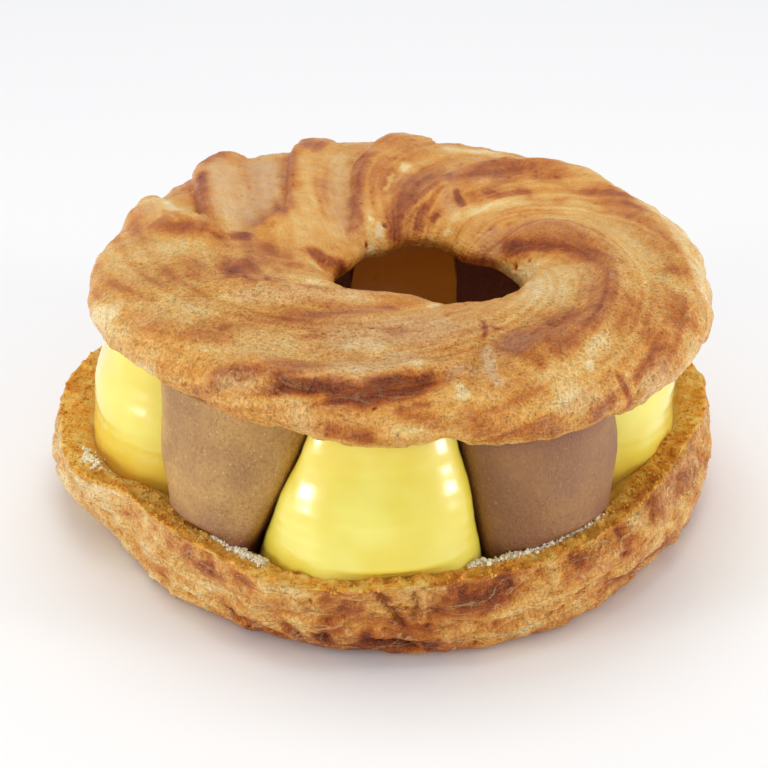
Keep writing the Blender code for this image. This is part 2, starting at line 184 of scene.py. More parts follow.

# Browning of the lid: (toast, sheen, left width, right width, line). Toast above nought is darker than
# gold and below it paler; sheen is painted sheen, the egg wash's reflection in the folds' hollows, as a matt greyish
# pink.
LID_PAINT = (
    # The near-left fold and the left side.
    (0.36, 0.05, 2.2, 2.2, ((170, 0.26), (174, 0.35), (175, 0.41), (177, 0.48))),
    (0.24, 0.00, 0.8, 0.8, ((165, 0.26), (170, 0.36), (174, 0.44), (176, 0.50), (177, 0.55))),
    (0.10, 0.65, 1.8, 1.8, ((163, 0.18), (166, 0.24))),
    (0.10, 0.35, 3.9, 3.9, ((169, 0.14), (172, 0.26))),
    (-0.15, 0.00, 4.1, 4.1, ((186, 0.36), (182, 0.44), (186, 0.52), (191, 0.58))),
    (-0.10, 0.05, 6.2, 6.2, ((188, 0.19), (190, 0.28), (190, 0.35))),
    (0.17, 0.00, 3.5, 3.5, ((199, 0.35), (198, 0.41), (200, 0.48))),
    (0.13, 0.00, 2.7, 2.7, ((197, 0.14), (199, 0.19), (200, 0.25), (198, 0.31))),
    (0.26, 0.15, 0.8, 0.8, ((196, 0.13), (201, 0.16))),
    (0.34, 0.25, 2.8, 2.8, ((205, 0.55), (200, 0.59), (196, 0.63))),
    (0.26, 0.25, 1, 1, ((194, 0.63), (217, 0.53))),
    (-0.12, 0.45, 2, 2, ((217, 0.46), (221, 0.53), (228, 0.61), (239, 0.68), (249, 0.71))),
    (0.12, 0.50, 1.3, 1.3, ((207, 0.60), (212, 0.66), (227, 0.66), (236, 0.73), (249, 0.77))),
    (-0.20, 0.00, 1.6, 1.6, ((202, 0.65), (208, 0.68), (215, 0.71), (219, 0.80))),
    (0.40, 0.00, 1.7, 1.7, ((175, 0.81), (173, 0.85), (174, 0.89), (164, 0.97))),
    (0.26, 0.00, 2.1, 2.1, ((194, 0.74), (198, 0.79))),
    (-0.22, 0.00, 0.9, 0.9, ((185, 0.83), (183, 0.87), (198, 0.87))),
    (0.40, 0.00, 2.3, 2.3, ((175, 0.55), (173, 0.58), (169, 0.59))),
    (0.14, 0.00, 3.7, 3.7, ((184, 0.55), (181, 0.63), (191, 0.70))),
    (0.22, 0.00, 2.1, 2.1, ((178, 0.66), (183, 0.71), (190, 0.74))),
    (-0.36, 0.05, 2.3, 2.3, ((201, 0.10), (205, 0.13), (208, 0.17))),
    (0.13, 0.05, 2.6, 2.6, ((215, 0.15), (220, 0.21), (223, 0.29), (228, 0.39), (236, 0.49))),
    (0.10, 0.35, 1.8, 1.8, ((212, 0.17), (214, 0.21), (216, 0.23))),
    (0.28, 0.00, 1.6, 1.6, ((228, 0.30), (228, 0.35))),
    (-0.15, 0.00, 1.8, 1.8, ((220, 0.12), (226, 0.16), (231, 0.20))),
    (-0.55, 0.20, 0.4, 0.4, ((231, 0.20), (231, 0.21))),
    (0.10, 0.00, 1.4, 1.4, ((223, 0.07), (228, 0.09), (233, 0.12))),
    # The three folds at the back.
    (0.26, 0.00, 1.8, 1.8, ((117, 0.26), (122, 0.33), (130, 0.49), (138, 0.56), (153, 0.63), (157, 0.59),
                            (165, 0.57))),
    (0.14, 0.00, 2.1, 2.1, ((146, 0.62), (156, 0.65))),
    (0.22, 0.30, 2.9, 2.9, ((115, 0.26), (112, 0.26), (110, 0.30))),
    (-0.10, 0.05, 3, 3, ((118, 0.43), (124, 0.57), (139, 0.68), (155, 0.72), (165, 0.76))),
    (-0.16, 0.60, 4, 4, ((135, 0.23), (143, 0.35), (152, 0.43), (165, 0.50))),
    (-0.12, 0.80, 3.2, 3.2, ((123, 0.21), (131, 0.38), (141, 0.48), (154, 0.53), (164, 0.54))),
    (0.20, 0.20, 1.6, 1.6, ((131, 0.19), (134, 0.17), (139, 0.21))),
    (0.30, 0.00, 1.3, 1.3, ((143, 0.25), (151, 0.31), (158, 0.36), (166, 0.42))),
    (0.08, 0.00, 2.1, 2.1, ((141, 0.12), (154, 0.27), (158, 0.32))),
    (-0.22, 0.05, 4.2, 4.2, ((159, 0.18), (161, 0.26), (168, 0.35))),
    (-0.24, 0.30, 2.1, 2.1, ((107, 0.31), (113, 0.50), (124, 0.66), (138, 0.80), (147, 0.85))),
    (0.30, 0.00, 1.8, 1.5, ((99, 0.37), (106, 0.50), (112, 0.61), (118, 0.69), (128, 0.81), (138, 0.87))),
    (0.14, 0.00, 3.3, 3.3, ((98, 0.38), (94, 0.31), (89, 0.33))),
    (-0.10, 0.00, 1.7, 1.7, ((116, 0.76), (122, 0.85), (128, 0.93), (129, 0.97))),
    (-0.36, 0.00, 0.4, 0.4, ((97, 0.55), (100, 0.63), (104, 0.69))),
    (-0.42, 0.10, 1.6, 1.6, ((94, 0.50), (92, 0.52))),
    (-0.55, 0.50, 0.8, 0.8, ((117, 0.84), (120, 0.90))),
    (-0.30, 0.00, 0.8, 0.8, ((122, 0.82), (119, 0.83))),
    (-0.42, 0.10, 0.7, 0.7, ((133, 0.94), (127, 0.95))),
    # The long outer fold and the pale skin outside it.
    (-0.30, 0.12, 1.6, 1.6, ((83, 0.31), (75, 0.28), (68, 0.26), (58, 0.31))),
    (-0.30, 0.12, 3.4, 3.4, ((50, 0.31), (38, 0.29), (32, 0.15), (21, 0.16), (9, 0.17), (0, 0.15),
                             (-11, 0.16), (-19, 0.16))),
    (0.36, 0.20, 2.6, 2.6, ((90, 0.68), (98, 0.79), (107, 0.87), (110, 0.95))),
    (0.22, 0.35, 4.7, 4.7, ((78, 0.56), (86, 0.61), (93, 0.71))),
    (-0.20, 0.00, 0.4, 0.4, ((101, 0.86), (96, 0.81), (90, 0.77), (83, 0.69), (79, 0.64))),
    (0.32, 0.00, 1, 1, ((87, 0.78), (93, 0.83), (97, 0.91))),
    (0.38, 0.00, 0.9, 0.9, ((89, 0.86), (83, 0.81))),
    (0.40, 0.00, 0.9, 0.9, ((76, 0.65), (71, 0.75))),
    (0.36, 0.00, 1.6, 1.6, ((65, 0.62), (62, 0.58))),
    (0.20, 0.00, 2.3, 2.3, ((71, 0.68), (62, 0.62), (54, 0.57), (48, 0.53))),
    (0.28, 0.00, 1.9, 1.9, ((76, 0.62), (70, 0.51), (65, 0.41), (57, 0.36), (48, 0.35), (39, 0.34),
                            (28, 0.35), (14, 0.35), (4, 0.34), (-3, 0.31), (-11, 0.26))),
    (0.10, 0.50, 2.2, 2.2, ((73, 0.57), (68, 0.50), (61, 0.44))),
    (-0.22, 0.10, 1.7, 1.7, ((75, 0.84), (71, 0.78), (62, 0.72), (53, 0.66), (47, 0.58))),
    (-0.26, 0.20, 0.7, 0.7, ((80, 0.91), (75, 0.87))),
    (-0.14, 0.00, 5.3, 5.3, ((37, 0.55), (28, 0.48), (19, 0.43), (7, 0.41), (-2, 0.39))),
    (-0.20, 0.00, 2.3, 2.3, ((343, 0.42), (345, 0.34), (343, 0.25), (338, 0.19), (334, 0.15))),
    (0.27, 0.00, 2.2, 2.2, ((339, 0.28), (337, 0.22), (332, 0.19), (328, 0.21))),
    (0.14, 0.00, 2.2, 2.2, ((326, 0.18), (326, 0.14))),
    # The inner fold and the smooth hollow beside the hole.
    (0.12, 0.55, 2.6, 2.6, ((55, 0.84), (43, 0.88), (49, 0.94))),
    (0.16, 0.40, 2, 2, ((44, 0.83), (29, 0.77), (14, 0.68), (1, 0.59))),
    (0.42, 0.00, 1.9, 1.9, ((39, 0.89), (24, 0.85), (12, 0.78), (3, 0.66))),
    (0.28, 0.30, 1.9, 1.9, ((1, 0.62), (-11, 0.60), (-25, 0.57), (-37, 0.53))),
    (-0.20, 0.15, 6.3, 6.3, ((319, 0.81), (326, 0.74), (335, 0.69), (350, 0.69))),
    (-0.26, 0.10, 2.9, 2.9, ((28, 1.00), (10, 0.93), (-8, 0.82))),
    (0.28, 0.05, 3.5, 3.5, ((320, 0.47), (314, 0.47), (307, 0.47), (299, 0.44), (293, 0.41), (289, 0.36))),
    (0.22, 0.00, 1, 1, ((318, 0.42), (309, 0.35))),
    (0.20, 0.10, 1.3, 1.3, ((304, 0.46), (301, 0.34))),
    (0.14, 0.00, 1.6, 1.6, ((339, 0.55), (321, 0.43))),
    (0.34, 0.00, 0.7, 0.7, ((72, 0.99), (64, 1.00))),
    (0.24, 0.00, 1.6, 1.6, ((66, 0.99), (50, 0.97), (38, 0.97))),
    # The right and front right.
    (0.30, 0.00, 0.9, 0.9, ((324, 0.17), (320, 0.17), (315, 0.15), (311, 0.12))),
    (0.18, 0.00, 2, 2, ((322, 0.27), (321, 0.21), (318, 0.19))),
    (-0.05, 0.60, 2, 2, ((320, 0.12), (316, 0.10), (312, 0.07))),
    (-0.22, 0.05, 2.2, 2.2, ((332, 0.14), (327, 0.08), (322, 0.03), (314, 0.02))),
    (-0.24, 0.05, 1.3, 1.3, ((312, 0.32), (305, 0.27), (298, 0.21), (296, 0.17))),
    (-0.42, 0.20, 0.7, 0.7, ((304, 0.25), (303, 0.21))),
    (0.00, 0.60, 2.6, 2.6, ((289, 0.41), (294, 0.44), (299, 0.46))),
    (-0.15, 0.85, 0.9, 0.9, ((286, 0.45), (285, 0.36), (285, 0.26), (287, 0.24))),
    (0.24, 0.00, 1.3, 1.3, ((292, 0.35), (294, 0.30), (295, 0.24))),
    (0.20, 0.00, 0.5, 0.5, ((292, 0.22), (294, 0.16))),
    (0.22, 0.30, 1.4, 1.4, ((292, 0.07), (295, 0.05))),
    (0.30, 0.45, 1.6, 1.6, ((305, 0.12), (303, 0.09), (300, 0.07))),
    (-0.12, 0.45, 1.4, 1.4, ((303, 0.14), (298, 0.13), (295, 0.12))),
    (0.38, 0.00, 0.7, 0.7, ((308, 0.17), (308, 0.13), (309, 0.05))),
    (0.10, 0.00, 1.7, 1.7, ((287, 0.19), (288, 0.12), (286, 0.07))),
    # The front fold with the browned wall under it, darkened further by painted shadow under the fold's lip.
    (0.30, 0.00, 1.4, 1.4, ((251, 0.19), (257, 0.20), (262, 0.21), (267, 0.22), (272, 0.26))),
    (0.50, 0.00, 0.2, 2.3, ((245, 0.19), (249, 0.20), (254, 0.21), (258, 0.21), (263, 0.23), (267, 0.25),
                            (272, 0.27), (275, 0.29))),
    (0.38, 0.00, 0.5, 0.5, ((238, 0.14), (241, 0.18), (244, 0.19), (246, 0.19))),
    (-0.05, 0.60, 1.4, 1.4, ((237, 0.12), (240, 0.15), (245, 0.17))),
    (0.30, 0.50, 1.8, 1.8, ((232, 0.05), (234, 0.05))),
    (-0.12, 0.50, 2.9, 2.9, ((254, 0.27), (261, 0.28), (266, 0.35), (270, 0.38))),
    (-0.30, 0.20, 1.6, 1.6, ((268, 0.33), (272, 0.31))),
    (-0.28, 0.05, 2, 2, ((253, 0.42), (258, 0.45), (264, 0.41))),
    (0.20, 0.30, 2.2, 2.2, ((244, 0.21), (248, 0.24), (252, 0.25), (256, 0.23))),
    (0.22, 0.40, 1.4, 1.4, ((236, 0.53), (244, 0.61), (253, 0.67), (258, 0.74))),
    (0.12, 0.05, 3, 3, ((242, 0.54), (247, 0.56), (253, 0.59))),
    (0.20, 0.00, 1.3, 1.3, ((259, 0.56), (267, 0.57))),
    (0.16, 0.00, 1.5, 1.5, ((244, 0.41), (246, 0.46))),
    (-0.50, 0.20, 1, 1, ((272, 0.79), (274, 0.77))),
    (0.22, 0.20, 0.5, 0.5, ((278, 0.69), (278, 0.65))),
    (0.38, 0.00, 0.5, 0.5, ((288, 0.60), (286, 0.50))),
    (0.32, 0.00, 0.9, 0.9, ((289, 0.54), (290, 0.55))),
    (0.32, 0.00, 1.5, 1.5, ((257, 0.07), (261, 0.07), (266, 0.07))),
    (0.32, 0.00, 0.7, 0.7, ((271, 0.17), (274, 0.17))),
    (-0.42, 0.10, 1.1, 1.1, ((279, 0.25), (279, 0.19))),
    (0.02, 0.60, 0.9, 0.9, ((277, 0.26), (278, 0.31), (281, 0.35), (283, 0.30))),
    (-0.18, 0.00, 1.1, 1.1, ((268, 0.09), (274, 0.09), (277, 0.11))),
    (0.15, 0.00, 1.6, 1.6, ((280, 0.09), (285, 0.07))),
    (-0.10, 0.35, 2.2, 2.2, ((251, 0.12), (254, 0.09), (256, 0.09))),
    # Long bands that run on from the folds at the right.
    (0.27, 0.10, 2.5, 2.5, ((71, 0.55), (64, 0.43), (57, 0.36), (48, 0.35), (38, 0.35), (26, 0.36),
                            (11, 0.37), (-1, 0.33), (-10, 0.29), (-15, 0.23))),
    (0.36, 0.00, 2.4, 2.4, ((37, 0.91), (19, 0.83), (9, 0.72), (1, 0.65))),
    (0.26, 0.15, 3.3, 3.3, ((5, 0.67), (-7, 0.61), (-26, 0.55), (-42, 0.46), (-52, 0.42), (-60, 0.37),
                            (-65, 0.35))),
    (0.12, 0.00, 4.3, 4.3, ((327, 0.47), (324, 0.38), (317, 0.34))),
    (0.16, 0.00, 2.7, 2.7, ((286, 0.23), (289, 0.20), (293, 0.22))),
    (0.14, 0.00, 1.9, 1.9, ((278, 0.17), (282, 0.13), (285, 0.17))),
    (0.18, 0.00, 2.7, 2.7, ((322, 0.22), (322, 0.15), (316, 0.12))),
    (0.14, 0.00, 2.4, 2.4, ((339, 0.28), (334, 0.21), (327, 0.18))),
    (-0.20, 0.10, 2.7, 2.7, ((294, 0.25), (296, 0.20), (298, 0.12))),
    (-0.18, 0.25, 2.5, 2.5, ((312, 0.08), (317, 0.07), (323, 0.07))),
    (-0.20, 0.00, 6.8, 6.8, ((316, 0.79), (320, 0.69), (332, 0.64))),
    (-0.14, 0.00, 6.3, 6.3, ((37, 0.55), (26, 0.50), (7, 0.47), (-6, 0.42), (-20, 0.35))),
    (-0.20, 0.00, 2.3, 2.3, ((213, 0.08), (221, 0.12), (226, 0.16))),
    (-0.18, 0.00, 4.8, 4.8, ((209, 0.26), (216, 0.28), (224, 0.28))),
    (-0.16, 0.10, 5.1, 5.1, ((231, 0.31), (239, 0.33), (246, 0.36))),
    (-0.14, 0.00, 7, 7, ((184, 0.24), (190, 0.32), (193, 0.39))),
    # Painted shadow under the front fold's lip, over browned crust.
    (0.52, 0.00, 1.9, 1.9, ((255, 0.19), (260, 0.19), (266, 0.21), (269, 0.22), (273, 0.25))),
    (0.30, 0.00, 1.3, 1.3, ((268, 0.17), (272, 0.13), (277, 0.11))),
    (0.20, 0.00, 2.3, 2.3, ((280, 0.10), (286, 0.08), (295, 0.07))),
    (0.14, 0.00, 3.6, 3.6, ((117, 0.52), (125, 0.69), (135, 0.82))),
    (0.10, 0.00, 4, 4, ((100, 0.38), (100, 0.56), (101, 0.74))),
    (-0.28, 0.10, 4, 4, ((17, 0.40), (1, 0.36), (-12, 0.31))),
    (0.34, 0.00, 3.1, 3.1, ((12, 0.80), (2, 0.68), (-11, 0.61))),
    (0.15, 0.00, 4.5, 4.5, ((198, 0.15), (201, 0.26), (197, 0.38), (197, 0.49))),
    (-0.14, 0.05, 1.7, 1.7, ((206, 0.15), (211, 0.25), (214, 0.35), (218, 0.46))),
    (0.17, 0.00, 3.3, 3.3, ((212, 0.14), (220, 0.19), (226, 0.26), (230, 0.35), (234, 0.47), (242, 0.59))),
    (-0.12, 0.00, 2.4, 2.4, ((221, 0.13), (230, 0.20), (238, 0.27), (249, 0.41))),
    (-0.22, 0.10, 3.9, 3.9, ((198, 0.12), (208, 0.11), (217, 0.09), (225, 0.07))),
    (0.00, 0.55, 5.6, 5.6, ((137, 0.31), (144, 0.45), (154, 0.57))),
    (0.00, 0.50, 2.9, 2.9, ((116, 0.53), (126, 0.73), (139, 0.87))),
    (0.00, 0.50, 1.8, 1.8, ((80, 0.46), (78, 0.69), (76, 0.80))),
    (-0.05, 0.50, 5, 5, ((246, 0.46), (258, 0.51), (270, 0.58), (281, 0.61))),
    (0.30, 0.10, 1.1, 1.1, ((236, 0.12), (239, 0.16), (243, 0.18), (248, 0.20), (254, 0.21))),
    (0.20, 0.20, 5.2, 5.2, ((199, 0.55), (198, 0.60), (202, 0.63))),
)
# Open bubbles of the lid's crust: (degrees, share, radius, depth).
BUBBLES = (
    (219, 0.595, 0.55, 0.45), (217, 0.625, 0.40, 0.35), (237, 0.72, 0.35, 0.35), (146, 0.44, 0.30, 0.30),
    (115, 0.855, 0.70, 0.55), (133, 0.925, 0.60, 0.50), (257, 0.545, 0.45, 0.35), (223, 0.50, 0.35, 0.30),
    (17, 0.93, 0.90, 0.50), (9, 0.87, 0.60, 0.35), (300, 0.60, 0.30, 0.30), (247, 0.47, 0.30, 0.25),
    (251, 0.46, 0.26, 0.25), (206, 0.48, 0.28, 0.22), (265, 0.155, 0.35, 0.30), (236, 0.09, 0.50, 0.45),
)

# How far the piping swept round as it crossed the lid: (degrees, degrees from the rim to the hole).
SWIRL = ((20, 170), (70, 120), (120, 70), (170, 90), (230, 170), (300, 175))

# Relief of the base's wall, with places as (degrees, share from rim to foot).
WALL_FOLDS = (
    (1.0, 1.0, 4.0, 1.0, 1, ((277, 0.02), (285, 0.20), (300, 0.16), (318, 0.10), (334, 0.10))),
    (0.7, 2.6, 1.2, 1.0, -1, ((278, 0.36), (290, 0.46), (303, 0.36), (316, 0.32), (334, 0.36))),
    (-0.9, 0.6, 0.6, 1.0, 0, ((268, 0.00), (270, 0.22), (272, 0.42), (273, 0.55))),
    (-0.6, 0.5, 0.5, 1.0, 0, ((274, 0.02), (275, 0.22), (274.5, 0.42))),
    (0.8, 0.6, 0.9, 1.0, 0, ((276, 0.04), (276, 0.24), (275.5, 0.44))),
    (-1.6, 1.4, 1.4, 1.0, 0, ((259, 0.62), (260, 0.78))),
    (-1.6, 2.0, 1.6, 1.0, 0, ((266, 0.70), (272, 0.76), (277, 0.80))),
    (-1.0, 1.0, 1.0, 1.0, 0, ((241, 0.76), (246, 0.82))),
    (-0.9, 0.8, 0.8, 1.0, 0, ((252, 0.70), (256, 0.76))),
    (0.8, 1.6, 1.2, 1.0, 1, ((254, 0.52), (263, 0.57), (274, 0.66), (288, 0.72), (300, 0.72))),
    (0.6, 1.6, 1.6, 1.0, 0, ((206, 0.20), (214, 0.34), (226, 0.44), (240, 0.50))),
    (-0.5, 1.0, 1.0, 1.0, 0, ((212, 0.30), (222, 0.50), (236, 0.62))),
    (0.6, 2.0, 2.0, 1.0, 0, ((228, 0.12), (240, 0.24), (252, 0.28), (264, 0.20))),
    (0.7, 2.0, 2.0, 1.0, 0, ((292, 0.58), (308, 0.50), (324, 0.52), (340, 0.60))),
    (-0.6, 0.9, 0.9, 1.0, 0, ((296, 0.66), (310, 0.60), (326, 0.64))),
)
WALL_PAINT = (
    (0.30, 0.35, 2.6, 2.6, ((226, 0.10), (234, 0.22), (244, 0.26))),
    (0.26, 0.30, 2.0, 2.0, ((212, 0.20), (219, 0.26))),
    (0.30, 0.20, 2.2, 2.2, ((262, 0.22), (266, 0.34))),
    (0.26, 0.30, 2.0, 2.0, ((304, 0.22), (311, 0.32))),
    (0.46, 0.05, 2.6, 2.6, ((279, 0.08), (284, 0.20), (292, 0.08))),
    (0.26, 0.40, 3.0, 3.0, ((324, 0.16), (336, 0.18), (348, 0.20))),
    (-0.26, 0.0, 1.4, 1.4, ((249, 0.07), (258, 0.05))),
    (-0.24, 0.0, 1.6, 1.6, ((289, 0.46), (297, 0.38), (303, 0.30))),
    (-0.26, 0.1, 1.6, 1.6, ((317, 0.10), (323, 0.16))),
    (-0.22, 0.0, 1.2, 1.2, ((325, 0.34), (338, 0.33), (348, 0.36))),
    (0.44, 0.0, 0.8, 0.8, ((268, 0.00), (270, 0.22), (272, 0.42), (273, 0.55))),
    (-0.40, 0.0, 0.5, 0.5, ((276, 0.04), (276, 0.24), (275.5, 0.44))),
    (0.70, 0.0, 1.8, 1.8, ((259, 0.60), (260, 0.82))),
    (0.70, 0.0, 2.4, 2.0, ((265, 0.68), (272, 0.76), (279, 0.80))),
    (0.60, 0.0, 1.6, 1.6, ((241, 0.72), (246, 0.84))),
    (0.50, 0.0, 1.6, 1.6, ((252, 0.70), (256, 0.78))),
    (0.34, 0.0, 2.4, 2.4, ((240, 0.90), (262, 0.90), (284, 0.92))),
    (-0.30, 0.1, 1.0, 1.0, ((278, 0.68), (289, 0.76), (300, 0.80))),
    (0.30, 0.0, 1.6, 1.6, ((206, 0.62), (214, 0.70), (226, 0.74))),
    (0.22, 0.0, 2.2, 2.2, ((262, 0.50), (272, 0.56), (284, 0.60))),
    (0.24, 0.0, 1.6, 1.6, ((310, 0.66), (322, 0.72), (336, 0.74))),
)
# Browning of the cut face: lines on its outer and inner parts, where a share below nought is inwards.
CUT_PAINT = (
    (0.24, 0.0, 0.9, 0.9, ((206, -0.05), (224, -0.06), (244, -0.04))),
    (0.28, 0.0, 1.0, 1.0, ((312, -0.03), (330, -0.06), (352, -0.08))),
    (-0.30, 0.3, 1.1, 1.1, ((236, -0.24), (247, -0.25))),
    (-0.34, 0.4, 1.2, 1.2, ((285, -0.22), (300, -0.24), (315, -0.24))),
    (-0.30, 0.2, 1.6, 1.6, ((196, -0.20), (200, -0.24))),
)


# Curves and noise ------------------------------------------------------------------------------

def spline(a, b, c, d, u):
    """Catmull-Rom value between b and c."""
    return 0.5 * (2 * b + (c - a) * u + (2 * a - 5 * b + 4 * c - d) * u**2 + (3 * b - a - 3 * c + d) * u**3)


def around(knots, angles):
    """Values at angles, in degrees, of a closed smooth curve through (degrees, value) knots."""
    starts, values = np.array(knots, float).T
    count = len(starts)
    angles = np.mod(angles, 360)
    index = np.searchsorted(starts, angles, side="right") - 1
    start = starts[index % count]
    end = starts[(index + 1) % count] + np.where(index == count - 1, 360, 0)
    near = [values[(index + step) % count] for step in (-1, 0, 1, 2)]
    return spline(*near, (angles - start) / (end - start))


def through(knots, count):
    """Evenly counted points of a smooth open curve through knots."""
    knots = np.array(knots, float)
    knots = np.vstack([2 * knots[0] - knots[1], knots, 2 * knots[-1] - knots[-2]])
    place = np.linspace(0, len(knots) - 3, count)
    index = np.minimum(place.astype(int), len(knots) - 4)
    near = [knots[index + step] for step in range(4)]
    return spline(*near, (place - index)[:, None])


def ease(value):
    """A smooth step from 0 to 1 of a value clipped to that range."""
    value = np.clip(value, 0, 1)
    return value * value * (3 - 2 * value)


HASH_PRIMES = np.array([73856093, 19349663, 83492791])


def noise(points, size, seed):
    """Smooth noise from -1 to 1 over points, with bumps about one size apart."""
    table = np.random.default_rng(seed).uniform(-1, 1, 4096)
    place = points / size + seed * 7.31
    corner = np.floor(place).astype(np.int64)
    part = ease(place - corner)
    keys = corner * HASH_PRIMES
    above = keys + HASH_PRIMES
    total = 0
    for x in (0, 1):
        for y in (0, 1):
            for z in (0, 1):
                ends = [(above if up else keys)[..., axis] for axis, up in enumerate((x, y, z))]
                shares = [part[..., axis] if up else 1 - part[..., axis] for axis, up in enumerate((x, y, z))]
                value = table[(ends[0] ^ ends[1] ^ ends[2]) & (len(table) - 1)]
                total = total + value * shares[0] * shares[1] * shares[2]
    return total


def fractal(points, size, seed, octaves=3):
    """Noise with finer and weaker noise added."""
    parts = [noise(points, size / 2**step, seed + step) / 2**step for step in range(octaves)]
    return sum(parts)


def creases(points, size, seed):
    """Folded noise: 1 along thin branching lines and falling away between them."""
    return 1 - np.abs(noise(points, size, seed)) * 2.2


def pores(points, size, seed):
    """Distance to the nearest of many scattered points, in sizes, and that point's random value."""
    tables = np.random.default_rng(seed).uniform(0, 1, (4, 4096)).astype(np.float32)
    place = points / size + seed * 3.17
    corner = np.floor(place).astype(np.int64)
    part = (place - corner).astype(np.float32)
    nearest = np.full(len(points), 9.0, np.float32)
    value = np.zeros(len(points), np.float32)
    for step in np.ndindex(3, 3, 3):
        step = np.array(step) - 1
        keys = (corner + step) * HASH_PRIMES
        key = (keys[:, 0] ^ keys[:, 1] ^ keys[:, 2]) & 4095
        away = part - step - tables[:3, key].T
        distance = (away**2).sum(axis=1)
        closer = distance < nearest
        nearest[closer] = distance[closer]
        value[closer] = tables[3][key[closer]]
    return np.sqrt(nearest), value


# Meshes ----------------------------------------------------------------------------------------

def deselect_all():
    for item in bpy.context.selected_objects:
        item.select_set(False)


def slots_of(piece):
    """Each vertex's place in the order that this file uses: row by row round a ring."""
    if "slot" not in piece.data.attributes:
        return np.arange(len(piece.data.vertices))
    slots = np.empty(len(piece.data.vertices), np.int32)
    piece.data.attributes["slot"].data.foreach_get("value", slots)
    return slots


def read_points(piece, field="co"):
    """A mesh's points in millimetres, or its normals."""
    flat = np.empty(len(piece.data.vertices) * 3)
    piece.data.vertices.foreach_get(field, flat)
    points = np.empty_like(flat).reshape(-1, 3)
    points[slots_of(piece)] = flat.reshape(-1, 3)
    return points / MM if field == "co" else points


def write_points(piece, points):
    ordered = points.reshape(-1, 3)[slots_of(piece)]
    piece.data.vertices.foreach_set("co", (ordered * MM).ravel())
    piece.data.update()


def read_normals(piece):
    return read_points(piece, "normal")


def write_value(piece, name, values):
    """Stores a number, or a vector in metres, for each point of a mesh."""
    kind, field = ("FLOAT_VECTOR", "vector") if values.ndim > 1 else ("FLOAT", "value")
    layer = piece.data.attributes.new(name, kind, "POINT")
    layer.data.foreach_set(field, values[slots_of(piece)].astype(np.float32).ravel())


def face_columns(piece, steps_across):
    """Lowest and highest column of each face of a ring."""
    corners = np.empty(len(piece.data.loops), np.int32)
    piece.data.loops.foreach_get("vertex_index", corners)
    columns = slots_of(piece)[corners].reshape(-1, 4) % steps_across
    return columns.min(axis=1), columns.max(axis=1)


def grid_ring(name, steps_around, steps_across):
    """A dense plain ring whose points can be read as rows round it and columns across it."""
    deselect_all()
    bpy.ops.mesh.primitive_torus_add(
        major_segments=steps_around // 4, minor_segments=steps_across // 4, major_radius=30 * MM,
        minor_radius=12 * MM, generate_uvs=False)
    piece = bpy.context.object
    piece.name = name
    refine = piece.modifiers.new("Refine", "SUBSURF")
    refine.subdivision_type = "SIMPLE"
    refine.levels = refine.render_levels = 2
    bpy.ops.object.modifier_apply(modifier=refine.name)
    x, y, z = read_points(piece).T
    row = np.round(np.arctan2(y, x) / tau * steps_around).astype(int) % steps_around
    column = np.round(np.arctan2(z, np.hypot(x, y) - 30) / tau * steps_across).astype(int) % steps_across
    layer = piece.data.attributes.new("slot", "INT", "POINT")
    layer.data.foreach_set("value", (row * steps_across + column).astype(np.int32))
    bpy.ops.object.shade_smooth()
    return piece


def soften(grid, passes):
    """Evens out a ring's section by averaging neighbours across it."""
    for _ in range(passes):
        grid = 0.5 * grid + 0.25 * (np.roll(grid, 1, axis=1) + np.roll(grid, -1, axis=1))
    return grid


def finish_piece(piece, slot, *nodes):
    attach(piece, BODY)
    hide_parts(*nodes)


def plan_shift():
    """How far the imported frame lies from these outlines' own centre, in the ground plane."""
    low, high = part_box("base_shell")
    angles = np.arange(0, 360, 1.0)
    reach = np.maximum(around(BELLY_RADII, angles), around(RIM_RADII, angles))
    x = reach * np.cos(np.radians(angles))
    y = reach * np.sin(np.radians(angles))
    return np.array([
        (low.x + high.x) / 2 / MM - (x.min() + x.max()) / 2,
        (low.y + high.y) / 2 / MM - (y.min() + y.max()) / 2,
        0.0,
    ])


def stroke(points, normals, line, left, right, narrowing, fade):
    """How far each point lies from a line, as a share of the width on its side, and how far from its ends.

    The third value is whether a point is on the line's left."""
    count = len(line)
    wide = max(left, right)
    share = np.ones(len(points))
    ends = np.zeros(len(points))
    leftward = np.zeros(len(points), bool)
    inside = np.all((points > line.min(0) - wide) & (points < line.max(0) + wide), axis=1)
    if not inside.any():
        return share, ends, leftward
    place, normal = points[inside], normals[inside]
    nearest = ((line**2).sum(1) - 2 * place @ line.T).argmin(1)
    tangent = np.gradient(line, axis=0)
    tangent /= np.linalg.norm(tangent, axis=1, keepdims=True)
    away = place - line[nearest]
    along = tangent[nearest]
    behind = (away * along).sum(1)
    side = (np.cross(normal, along) * away).sum(1)
    middle = (nearest > 0) & (nearest < count - 1)
    distance = np.linalg.norm(away - np.where(middle, behind, 0)[:, None] * along, axis=1)
    width = np.where(side > 0, left, right) * (1 + (narrowing - 1) * nearest / count)
    share[inside] = np.clip(distance / width, 0, 1)
    ends[inside] = ease(np.minimum(nearest, count - 1 - nearest) / (count * fade))
    leftward[inside] = side > 0
    return share, ends, leftward


def folded_relief(points, normals, surface, folds):
    """Height of folds over a surface, with the round side falling like a roll of dough."""
    total = np.zeros(len(points))
    for height, left, right, narrowing, round_side, knots in folds:
        line = surface(*through(knots, 90).T)
        share, ends, leftward = stroke(points, normals, line, left, right, narrowing, 0.16)
        slope = 0.5 + 0.5 * np.cos(pi * share)
        roll = np.sqrt(1 - share**2)
        rolled = leftward if round_side < 0 else ~leftward
        total += height * ends * np.where(rolled & (round_side != 0), roll, slope)
    return total


